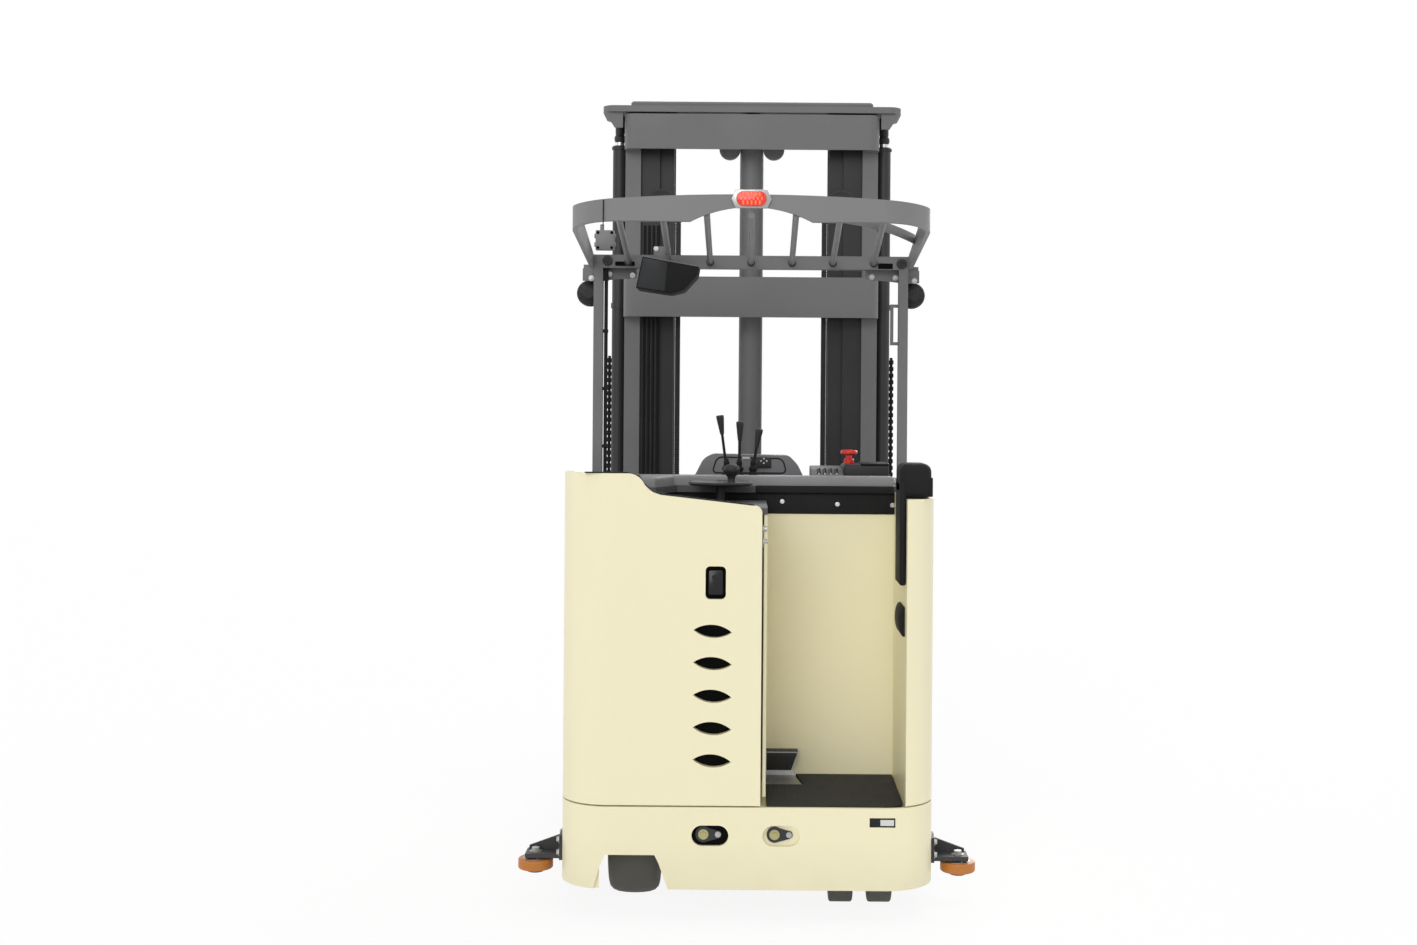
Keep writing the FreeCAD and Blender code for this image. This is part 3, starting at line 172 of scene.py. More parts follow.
def mottle_group():
    """Slow change of shade and gloss over a painted or moulded surface."""
    group, given, out = new_group(
        "mottle",
        [("Colour", "NodeSocketColor", (0.8, 0.8, 0.8, 1)), ("Shade", "NodeSocketColor", (0.6, 0.6, 0.6, 1)),
         ("Scale", "NodeSocketFloat", 3.0), ("Amount", "NodeSocketFloat", 0.2),
         ("Gloss low", "NodeSocketFloat", 0.3), ("Gloss high", "NodeSocketFloat", 0.45)],
        [("Colour", "NodeSocketColor"), ("Roughness", "NodeSocketFloat")])
    place = group.nodes.new("ShaderNodeTexCoord").outputs["Object"]
    noise = noise_node(group, given["Scale"], place)
    blot = maths(group, "MULTIPLY", noise.outputs["Fac"], given["Amount"], clamp=True)
    mix = group.nodes.new("ShaderNodeMix")
    mix.data_type = "RGBA"
    group.links.new(blot, mix.inputs["Factor"])
    group.links.new(given["Colour"], mix.inputs["A"])
    group.links.new(given["Shade"], mix.inputs["B"])
    group.links.new(mix.outputs["Result"], out["Colour"])
    spread = group.nodes.new("ShaderNodeMapRange")
    group.links.new(noise.outputs["Fac"], spread.inputs["Value"])
    group.links.new(given["Gloss low"], spread.inputs["To Min"])
    group.links.new(given["Gloss high"], spread.inputs["To Max"])
    group.links.new(spread.outputs["Result"], out["Roughness"])
    return group


def dust_group():
    """Mask of dust that settles low down and in patches."""
    group, given, out = new_group(
        "floor_dust",
        [("Height", "NodeSocketFloat", 0.25), ("Scale", "NodeSocketFloat", 9.0),
         ("Amount", "NodeSocketFloat", 0.3)],
        [("Mask", "NodeSocketFloat")])
    place = group.nodes.new("ShaderNodeTexCoord").outputs["Object"]
    split = group.nodes.new("ShaderNodeSeparateXYZ")
    group.links.new(place, split.inputs[0])
    low = group.nodes.new("ShaderNodeMapRange")
    group.links.new(split.outputs["Z"], low.inputs["Value"])
    group.links.new(given["Height"], low.inputs["From Max"])
    low.inputs["To Min"].default_value = 1.0
    low.inputs["To Max"].default_value = 0.0
    patch = noise_node(group, given["Scale"], place, 6.0)
    both = maths(group, "MULTIPLY", low.outputs["Result"], patch.outputs["Fac"])
    group.links.new(maths(group, "MULTIPLY", both, given["Amount"], clamp=True), out["Mask"])
    return group


def grain_group():
    """Height of a fine moulded or sprayed grain."""
    group, given, out = new_group(
        "fine_grain", [("Scale", "NodeSocketFloat", 400.0), ("Amount", "NodeSocketFloat", 1.0)],
        [("Height", "NodeSocketFloat")])
    place = group.nodes.new("ShaderNodeTexCoord").outputs["Object"]
    fine = noise_node(group, given["Scale"], place, 2.0)
    group.links.new(maths(group, "MULTIPLY", fine.outputs["Fac"], given["Amount"]), out["Height"])
    return group


RIB_WIDENING = 0.4


def stripe_group():
    """Height of straight ribs along one object axis."""
    group, given, out = new_group(
        "rib_stripes", [("Direction", "NodeSocketVector", (1, 0, 0)), ("Pitch", "NodeSocketFloat", 0.02)],
        [("Height", "NodeSocketFloat")])
    place = group.nodes.new("ShaderNodeTexCoord").outputs["Object"]
    along = group.nodes.new("ShaderNodeVectorMath")
    along.operation = "DOT_PRODUCT"
    group.links.new(place, along.inputs[0])
    group.links.new(given["Direction"], along.inputs[1])
    turns = maths(group, "DIVIDE", along.outputs["Value"], given["Pitch"])
    wave = maths(group, "SINE", maths(group, "MULTIPLY", turns, 2 * math.pi))
    group.links.new(maths(group, "ADD", wave, RIB_WIDENING, clamp=True), out["Height"])
    return group


def shared_group(name, build):
    return bpy.data.node_groups.get(name) or build()


def place_group(material, group, values):
    node = material.node_tree.nodes.new("ShaderNodeGroup")
    node.node_tree = group
    for label, value in values.items():
        node.inputs[label].default_value = value
    return node


def rgba(colour, factor=1.0):
    return (colour[0] * factor, colour[1] * factor, colour[2] * factor, 1.0)


COAT_ROUGHNESS = 0.12
BUMP_STRENGTH = 0.35
GRAIN_DEPTH = 0.0008


def finish(name, colour, low=0.35, high=0.5, metallic=0.0, mottle=0.25, mottle_scale=3.0, shade=0.82,
           grain=0.0, grain_scale=400.0, dust=0.0, dust_colour=(0.34, 0.31, 0.27), coat=0.0, ribs=None,
           rib_depth=0.0, specular=0.3):
    """Material of one finish, with shade, gloss, dust and relief that change over the surface; a few of these
    colours are painted shade or a painted highlight.

    The ending keeps it apart from the frame's own plain materials, which have the slots' names."""
    name = name + "_finish"
    if name in bpy.data.materials:
        return bpy.data.materials[name]
    material = bpy.data.materials.new(name)
    material.use_nodes = True
    tree = material.node_tree
    shader = tree.nodes["Principled BSDF"]
    shader.inputs["Metallic"].default_value = metallic
    shader.inputs["Coat Weight"].default_value = coat
    shader.inputs["Coat Roughness"].default_value = COAT_ROUGHNESS
    shader.inputs["Specular IOR Level"].default_value = specular
    tone = place_group(material, shared_group("mottle", mottle_group), {
        "Colour": rgba(colour), "Shade": rgba(colour, shade), "Scale": mottle_scale, "Amount": mottle,
        "Gloss low": low, "Gloss high": high})
    colour_out = tone.outputs["Colour"]
    if dust:
        mask = place_group(material, shared_group("floor_dust", dust_group), {"Amount": dust})
        mix = tree.nodes.new("ShaderNodeMix")
        mix.data_type = "RGBA"
        tree.links.new(mask.outputs["Mask"], mix.inputs["Factor"])
        tree.links.new(colour_out, mix.inputs["A"])
        mix.inputs["B"].default_value = rgba(dust_colour)
        colour_out = mix.outputs["Result"]
    tree.links.new(colour_out, shader.inputs["Base Color"])
    tree.links.new(tone.outputs["Roughness"], shader.inputs["Roughness"])
    height = None
    if grain:
        fine = place_group(material, shared_group("fine_grain", grain_group),
                           {"Scale": grain_scale, "Amount": grain})
        height = fine.outputs["Height"]
    if ribs:
        stripes = place_group(material, shared_group("rib_stripes", stripe_group),
                              {"Direction": ribs[0], "Pitch": ribs[1]})
        height = stripes.outputs["Height"]
    if height is not None:
        bump = tree.nodes.new("ShaderNodeBump")
        bump.inputs["Strength"].default_value = BUMP_STRENGTH
        bump.inputs["Distance"].default_value = rib_depth or GRAIN_DEPTH
        tree.links.new(height, bump.inputs["Height"])
        tree.links.new(bump.outputs["Normal"], shader.inputs["Normal"])
    return material


def cream_paint():
    return finish("cream_paint", settings().cream, 0.30, 0.42, mottle=0.16, mottle_scale=1.3, shade=0.90,
                  grain=0.5, grain_scale=260, dust=0.35, coat=0.06)


def mast_paint():
    return finish("mast_paint", settings().mast, 0.38, 0.55, mottle=0.5, mottle_scale=5.0, shade=0.72,
                  grain=0.7, grain_scale=320, dust=0.3)


def guard_paint():
    return finish("guard_paint", settings().guard, 0.36, 0.5, mottle=0.35, mottle_scale=4.0, shade=0.8,
                  grain=0.6, grain_scale=320, dust=0.2)


# The guard grey made darker over the guard's frame, in broad patches, as painted shade of its posts
def guard_frame_painted_shade():
    return finish("guard_frame_painted_shade", settings().guard, 0.4, 0.55, mottle=0.9, mottle_scale=3.0, shade=0.45,
                  grain=0.6, grain_scale=320, dust=0.2)


# Light grey of the deck's fascia: partly its own grey, partly a painted highlight of its lit upper face
def fascia_grey_and_highlight():
    return finish("fascia_grey_and_highlight", linear(146, 146, 147), 0.4, 0.55, mottle=0.8, mottle_scale=5.0, shade=0.55,
                  grain=1.0, grain_scale=900)


# Rails of the middle and inner stages, darkened as painted shade of the mast's inside
def rail_painted_shade():
    return finish("rail_painted_shade", settings().rail, 0.34, 0.52, mottle=0.6, mottle_scale=6.0, shade=0.55,
                  grain=0.6, grain_scale=300, dust=0.3)


def dark_paint():
    return finish("dark_paint", settings().dark, 0.38, 0.55, mottle=0.5, mottle_scale=7.0, shade=0.65,
                  grain=0.7, grain_scale=340, dust=0.3)


def black_plastic():
    return finish("black_plastic", settings().plastic, 0.42, 0.58, mottle=0.4, mottle_scale=9.0, shade=0.7,
                  grain=1.0, grain_scale=900)


def console_plastic():
    return finish("console_plastic", settings().console, 0.45, 0.6, mottle=0.35, mottle_scale=6.0, shade=0.8,
                  grain=1.0, grain_scale=900)


def pod_plastic():
    return finish("pod_plastic", linear(116, 116, 118), 0.45, 0.6, mottle=0.35, mottle_scale=8.0, shade=0.8,
                  grain=1.0, grain_scale=900)


def soft_black():
    return finish("soft_black", linear(20, 20, 22), 0.6, 0.75, mottle=0.5, mottle_scale=14.0, shade=0.6,
                  grain=1.0, grain_scale=1300, specular=0.22)


def gloss_black():
    return finish("gloss_black", linear(13, 13, 15), 0.16, 0.26, mottle=0.2, specular=0.35)


# Near-black: the colour of black screws, seams and a hole's lining, and of the sheets of painted shade in
# slots, vents and behind the louvres and latch
def deep_black():
    return finish("deep_black", linear(9, 9, 9), 0.85, 0.95, mottle=0.3, mottle_scale=20.0, grain=0.4,
                  specular=0.1)


def mat_rubber():
    return finish("mat_rubber", linear(50, 50, 51), 0.7, 0.85, mottle=0.5, mottle_scale=16.0, specular=0.2,
                  ribs=((1.0, 0.0, 0.0), 0.012), rib_depth=0.0012)


def tread_rubber():
    return finish("tread_rubber", linear(84, 85, 82), 0.6, 0.8, mottle=0.6, mottle_scale=18.0, shade=0.6,
                  grain=1.0, grain_scale=500, dust=0.5)


def urethane():
    return finish("urethane", settings().urethane, 0.28, 0.42, mottle=0.45, mottle_scale=26.0, shade=0.7,
                  grain=0.4, dust=0.4, dust_colour=(0.5, 0.36, 0.22))


def bright_steel():
    return finish("bright_steel", linear(196, 196, 198), 0.2, 0.34, metallic=1.0, mottle=0.4,
                  mottle_scale=30.0, shade=0.8, grain=0.3, grain_scale=600)


def zinc_steel():
    return finish("zinc_steel", linear(176, 176, 174), 0.3, 0.48, metallic=0.9, mottle=0.5,
                  mottle_scale=60.0, shade=0.7, grain=0.4, grain_scale=800)


def worn_brass():
    return finish("yellow_zinc", linear(178, 172, 122), 0.35, 0.5, metallic=0.6, mottle=0.5,
                  mottle_scale=50.0, shade=0.6, grain=0.4, grain_scale=700)


def chain_steel():
    return finish("chain_steel", linear(24, 24, 24), 0.4, 0.55, metallic=0.2, mottle=0.6,
                  mottle_scale=40.0, shade=0.6, grain=0.5, grain_scale=700)


def red_button():
    return finish("red_button", settings().lamp, 0.25, 0.35, mottle=0.3, mottle_scale=30.0, shade=0.85,
                  grain=0.3, coat=0.3)


def glow(material, colour, strength):
    shader = material.node_tree.nodes["Principled BSDF"]
    shader.inputs["Emission Color"].default_value = rgba(colour)
    shader.inputs["Emission Strength"].default_value = strength
    return material


def lens_red():
    """Ribbed lens whose cells glow a little."""
    material = finish("lens_red", settings().lamp, 0.08, 0.16, mottle=0.3, mottle_scale=90.0, shade=0.75,
                      ribs=((1.0, 0.0, 0.0), 0.008), rib_depth=0.0012, coat=0.6)
    return glow(material, settings().lamp, 0.2)


def lens_cell():
    material = finish("lens_cell", linear(255, 124, 84), 0.2, 0.3, mottle=0.2, mottle_scale=200.0)
    return glow(material, linear(255, 110, 70), 0.35)


def screen_black():
    return finish("screen_black", linear(38, 39, 41), 0.45, 0.55, mottle=0.3, mottle_scale=20.0)


def pale_print():
    return finish("pale_print", linear(214, 214, 210), 0.5, 0.6, mottle=0.2, mottle_scale=80.0)


def lamp_glass():
    return finish("lamp_glass", linear(196, 200, 206), 0.05, 0.1, metallic=0.4, mottle=0.3,
                  mottle_scale=40.0, ribs=((1.0, 0.0, 0.0), 0.006), rib_depth=0.001, coat=0.8)


# Shapes, each added to a bmesh with its own operators

SAME_POINT = 1e-6
WASHER_THICK = 0.0018


def at(x, y, z):
    """Point given in metres across, forward of the rear face, and up."""
    return Vector((x, REAR + y, z))


def soften(bm, geom, offset, segments, affect="EDGES"):
    """Rounds edges or corners."""
    bmesh.ops.bevel(bm, geom=geom, offset=offset, affect=affect, segments=segments, profile=0.5, material=-1)


def soften_all(bm, verts, offset, segments):
    """Rounds every edge that meets these vertices."""
    soften(bm, list({e for v in verts for e in v.link_edges}), offset, segments)


def push(bm, faces, step):
    """Extrudes faces by a step and gives the vertices that moved."""
    pushed = bmesh.ops.extrude_face_region(bm, geom=faces)
    moved = [item for item in pushed["geom"] if isinstance(item, bmesh.types.BMVert)]
    bmesh.ops.translate(bm, vec=step, verts=moved)
    return moved


def add_box(bm, low, high, bevel=0.0, segments=3):
    low, high = Vector(low), Vector(high)
    size = Matrix.LocRotScale((low + high) / 2, None, high - low)
    made = bmesh.ops.create_cube(bm, size=1.0, matrix=size)
    if bevel:
        soften_all(bm, made["verts"], bevel, segments)


def add_rod(bm, start, end, radius, end_radius=None, steps=None):
    start, end = Vector(start), Vector(end)
    axis = end - start
    place = Matrix.LocRotScale((start + end) / 2, axis.to_track_quat("Z", "Y"), None)
    bmesh.ops.create_cone(bm, cap_ends=True, segments=steps or detail().round_steps, radius1=radius,
                          radius2=radius if end_radius is None else end_radius, depth=axis.length,
                          matrix=place)


def add_turned(bm, profile, centre, axis, steps=None):
    """Spins a profile of (radius, height) points about an axis through centre."""
    axis = Vector(axis).normalized()
    side = axis.orthogonal().normalized()
    centre = Vector(centre)
    verts = [bm.verts.new(centre + side * r + axis * h) for r, h in profile]
    edges = [bm.edges.new(pair) for pair in zip(verts, verts[1:])]
    bmesh.ops.spin(bm, geom=verts + edges, cent=centre, axis=axis, angle=2 * math.pi,
                   steps=steps or detail().round_steps, use_merge=True)
    bmesh.ops.remove_doubles(bm, verts=bm.verts, dist=SAME_POINT)


def around(count, radius, start=0.0):
    """Offsets of evenly spaced points on a circle, from a start angle in degrees."""
    turns = [math.radians(start + 360.0 * i / count) for i in range(count)]
    return [(radius * math.cos(a), radius * math.sin(a)) for a in turns]


def add_bolt(bm, centre, axis, radius=0.009, height=0.006, washer=True):
    """Hexagon head with its washer."""
    base, axis = Vector(centre), Vector(axis).normalized()
    if washer:
        face = base + axis * WASHER_THICK
        add_rod(bm, base, face, radius * 1.45, steps=20)
        base = face
    add_rod(bm, base, base + axis * height, radius, radius * 0.94, steps=6)


def add_screw(bm, centre, axis, radius=0.006):
    """Round head with a hexagon socket."""
    centre, axis = Vector(centre), Vector(axis).normalized()
    profile = [(0.0, -0.001), (radius, -0.001), (radius, radius * 0.35), (radius * 0.8, radius * 0.6),
               (radius * 0.45, radius * 0.62), (radius * 0.42, radius * 0.2), (0.0, radius * 0.2)]
    add_turned(bm, profile, centre, axis, 18)


def add_plate(bm, outline, axis, start, end, bevel=0.0):
    """Flat outline pushed along an axis from start to end."""
    others = [i for i in range(3) if i != axis]
    points = []
    for pair in outline:
        p = [0.0, 0.0, 0.0]
        p[others[0]], p[others[1]], p[axis] = pair[0], pair[1], start
        points.append(bm.verts.new(p))
    step = Vector((0, 0, 0))
    step[axis] = end - start
    moved = push(bm, [bm.faces.new(points)], step)
    if bevel:
        soften_all(bm, points + moved, bevel, 2)


def rounded(cx, cz, width, height, radius, steps=6):
    """Points of a rectangle with round corners, as (across, up)."""
    made = []
    corners = ((1, 1, 0), (-1, 1, 90), (-1, -1, 180), (1, -1, 270))
    for sx, sz, start in corners:
        for i in range(steps + 1):
            a = math.radians(start + 90.0 * i / steps)
            x = cx + sx * (width / 2 - radius) + radius * math.cos(a)
            z = cz + sz * (height / 2 - radius) + radius * math.sin(a)
            made.append((x, z))
    return made


def piece(name, bm, body, material, stands_for=(), sharp=32.0):
    """Turns a finished bmesh into a riding piece with its material and slot."""
    bmesh.ops.remove_doubles(bm, verts=bm.verts, dist=SAME_POINT)
    bmesh.ops.recalc_face_normals(bm, faces=bm.faces)
    for face in bm.faces:
        face.smooth = True
    for edge in bm.edges:
        edge.smooth = len(edge.link_faces) == 2 and edge.calc_face_angle() < math.radians(sharp)
    mesh = bpy.data.meshes.new(name)
    bm.to_mesh(mesh)
    bm.free()
    made = bpy.data.objects.new(name, mesh)
    bpy.context.collection.objects.link(made)
    made.data.materials.append(material)
    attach(made, body)
    if stands_for:
        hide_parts(*stands_for)
    return made


def paint_node(name, material, top=None, limit=0.0):
    """Gives a node its finish, and its faces above a height another one."""
    mesh = NODES[name].data
    mesh.materials.clear()
    mesh.materials.append(material)
    if top is not None:
        mesh.materials.append(top)
        for face in mesh.polygons:
            face.material_index = 1 if face.center.z > limit else 0


class STACKER_OT_finishes(bpy.types.Operator):
    """Gives every CAD node its own finish"""
    bl_idname = "stacker.finishes"
    bl_label = "Finishes"

    def execute(self, context):
        table = {
            cream_paint: ("lower_body", "rear_door", "right_wall", "bay_walls", "battery_cover"),
            mast_paint: ("mast_outer", "centre_cylinder", "chassis_frame"),
            guard_frame_painted_shade: ("guard_frame",),
            guard_paint: ("guard_roof",),
            dark_paint: ("body_fittings", "motor_block", "drive_fork", "caster_fork", "guide_brackets",
                         "lift_cylinders", "carriage", "traverse_frame", "head_slide", "swivel_head",
                         "forks"),
            console_plastic: ("console",),
            pod_plastic: ("control_pods",),
            black_plastic: ("control_levers", "steering_wheel", "monitor_box", "work_lamps"),
            soft_black: ("driver_pads", "hose_bundle"),
            mat_rubber: ("platform_mat",),
            red_button: ("e_stop",),
            lens_red: ("tail_lamp",),
            zinc_steel: ("pedal",),
            chain_steel: ("chain_sheaves",),
            tread_rubber: ("drive_wheel", "caster_wheels", "load_wheel_left", "load_wheel_right"),
            urethane: tuple(n for n in NODES if n.startswith("guide_roller")),
        }
        for build, names in table.items():
            for name in names:
                paint_node(name, build())
        paint_node("lift_rods", bright_steel(), dark_paint(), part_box("lift_cylinders")[1].z + 0.003)
        # Below the outer mast's top the stages' rails take the dark rail grey as painted shade; above it they
        # keep the mast paint
        for name in ("mast_middle", "mast_inner"):
            paint_node(name, rail_painted_shade(), mast_paint(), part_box("mast_outer")[1].z - 0.06)
        return {"FINISHED"}


LIP_THICK = 0.0035
LIP_FRONT = REAR + 0.0005
LIP_BACK = REAR + 0.023
LIP_CORNER_X = -0.372


class STACKER_OT_door(bpy.types.Operator):
    """Adds the door's rubber lip, latch, black sheets of painted shade behind the louvres and the latch, and
    catch
    """
    bl_idname = "stacker.door"
    bl_label = "Rear door fittings"

    def execute(self, context):
        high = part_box("rear_door")[1]
        bm = bmesh.new()
        lip = [(LIP_CORNER_X, high.z), (-0.335, high.z - 0.010), (-0.318, high.z - 0.034),
               (-0.292, high.z - 0.056), (-0.255, high.z - 0.066), (0.016, high.z - 0.096)]
        for (x0, z0), (x1, z1) in zip(lip, lip[1:]):
            outline = [(x0, z0), (x1, z1), (x1, z1 + LIP_THICK), (x0, z0 + LIP_THICK)]
            add_plate(bm, outline, 1, LIP_FRONT, LIP_BACK)
        add_box(bm, (-0.50, LIP_FRONT, high.z), (LIP_CORNER_X, LIP_BACK, high.z + LIP_THICK))
        piece("door_lip", bm, "door", soft_black())
        # Black sheets behind the louvre slots and the latch's recess are painted shade of the hollows inside
        # the door
        bm = bmesh.new()
        add_box(bm, at(-0.205, 0.0245, 0.45), at(-0.012, 0.0275, 0.92))
        add_box(bm, at(-0.140, 0.0165, 0.972), at(-0.060, 0.0178, 1.088))
        piece("louvre_shade_sheets", bm, "door", deep_black())
        bm = bmesh.new()
        add_plate(bm, rounded(-0.100, 1.030, 0.044, 0.074, 0.006), 1, REAR + 0.006, REAR + 0.0165, 0.0015)
        add_rod(bm, at(-0.104, 0.004, 1.046), at(-0.104, 0.008, 1.046), 0.008)
        piece("latch_paddle", bm, "door", gloss_black())
        bm = bmesh.new()
        x = high.x
        add_box(bm, at(x + 0.001, 0.026, 1.135), at(x + 0.004, 0.052, 1.205), 0.001)
        add_rod(bm, at(x + 0.003, 0.036, 1.192), at(x + 0.014, 0.036, 1.192), 0.008)
        add_bolt(bm, at(x + 0.004, 0.038, 1.155), (1, 0, 0), 0.008, 0.012)
        piece("door_catch", bm, "chassis", zinc_steel())
        return {"FINISHED"}


LEFT_HOLE_X = -0.112
RIGHT_HOLE_X = 0.104
LINK_Z = 0.266


class STACKER_OT_skirt(bpy.types.Operator):
    """Adds the linings of the skirt's oval holes, the link bolts and the blank plate"""
    bl_idname = "stacker.skirt"
    bl_label = "Skirt fittings"

    def execute(self, context):
        linings = (("hole_lining_left", LEFT_HOLE_X, deep_black(), "black_plastic"),
                   ("hole_lining_right", RIGHT_HOLE_X, cream_paint(), "cream_paint"))
        for name, cx, lining, slot_name in linings:
            bm = bmesh.new()
            add_plate(bm, rounded(cx, 0.263, 0.122, 0.072, 0.0355), 1, REAR + 0.0121, REAR + 0.0124)
            piece(name, bm, "chassis", lining)
        bm = bmesh.new()
        for cx in (LEFT_HOLE_X, RIGHT_HOLE_X):
            add_rod(bm, at(cx - 0.020, 0.0036, LINK_Z), at(cx - 0.020, 0.0052, LINK_Z), 0.0155)
            add_bolt(bm, at(cx - 0.020, 0.0038, LINK_Z), (0, -1, 0), 0.010, 0.0036, washer=False)
        piece("link_bolts", bm, "chassis", worn_brass())
        bm = bmesh.new()
        for cx in (LEFT_HOLE_X, RIGHT_HOLE_X):
            add_bolt(bm, at(cx + 0.024, 0.0051, LINK_Z), (0, -1, 0), 0.0062, 0.003)
        piece("link_studs", bm, "chassis", zinc_steel())
        bm = bmesh.new()
        add_box(bm, at(0.372, -0.0002, 0.292), at(0.450, 0.0006, 0.320))
        piece("plate_back", bm, "chassis", gloss_black())
        bm = bmesh.new()
        add_box(bm, at(0.405, -0.0007, 0.297), at(0.446, 0.0004, 0.315))
        piece("plate_blank", bm, "chassis", pale_print())
        return {"FINISHED"}


HAIR = 0.0003
PAD_TO_WALL = 0.077


class STACKER_OT_pads(bpy.types.Operator):
    """Replaces the plain pads by moulded cushions and the apron by its screwed band"""
    bl_idname = "stacker.pads"
    bl_label = "Driver's pads"

    def execute(self, context):
        low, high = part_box("driver_pads")
        side = high.x - PAD_TO_WALL
        back, face, rear, front = side - HAIR, side - 0.0205, 0.046, 0.206
        bm = bmesh.new()
        add_box(bm, at(face, rear, 1.020), at(back, front, 1.340), 0.008, 4)
        add_box(bm, at(face, rear - 0.0005, 1.284), at(high.x + 0.0005, front + 0.0005, high.z + 0.0005),
                0.026, 6)
        add_box(bm, at(high.x - 0.010, rear + 0.008, 1.292), at(high.x + 0.004, front - 0.008, 1.352), 0.004)
        backrest = piece("backrest", bm, "chassis", soft_black(), ("driver_pads",))
        bm = bmesh.new()
        bulge = [(back, 0.8585)]
        for degrees in range(-75, 76, 15):
            a = math.radians(degrees)
            bulge.append((back - 0.0182 * math.cos(a) ** 0.8, 0.905 + 0.0465 * math.sin(a)))
        bulge.append((back, 0.9515))
        add_plate(bm, bulge, 1, REAR + 0.0795, REAR + 0.2305, 0.003)
        hip = piece("hip_pad", bm, "chassis", soft_black())
        bm = bmesh.new()
        add_box(bm, at(0.024, 0.4667, 1.2117), at(back, 0.4933, 1.2819), 0.004)
        add_box(bm, at(low.x, 0.4667, 1.2560), at(0.030, 0.4933, 1.2819), 0.003)
        piece("apron_band", bm, "chassis", soft_black())
        bm = bmesh.new()
        add_box(bm, at(0.020, 0.4530, 1.2805), at(side - 0.0025, 0.4700, 1.3052), 0.004, 4)
        piece("deck_nosing", bm, "chassis", soft_black())
        bm = bmesh.new()
        for x, z in ((0.109, 1.253), (0.292, 1.245), (0.474, 1.243)):
            add_screw(bm, at(x, 0.4667, z), (0, -1, 0), 0.009)
        piece("apron_screws", bm, "chassis", bright_steel())
        return {"FINISHED"}


class STACKER_OT_bay(bpy.types.Operator):
    """Adds the ribbed tread of the pedal"""
    bl_idname = "stacker.bay"
    bl_label = "Foot bay"

    def execute(self, context):
        low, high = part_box("pedal")
        bm = bmesh.new()
        front, foot = high.y - 0.0583, high.z - 0.0633
        shape = [(low.x - 0.0004, foot), (high.x - 0.0316, foot), (high.x - 0.0096, high.z + 0.0004),
                 (low.x - 0.0004, high.z + 0.0004)]
        add_plate(bm, shape, 1, front, high.y - 0.0003, 0.004)
        for i in range(6):
            x = low.x + 0.010 + 0.0125 * i
            add_box(bm, (x, front - 0.0016, foot + 0.008), (x + 0.006, front + 0.001, high.z - 0.010),
                    0.0007, 1)
        piece("pedal_tread", bm, "chassis", black_plastic())
        return {"FINISHED"}


POD_FACE = REAR + 0.770
POD_BACK = REAR + 0.850
ARM_FACE = REAR + 0.640
FOOT_FACE = REAR + 0.660
SWITCH_PITCH = 0.020


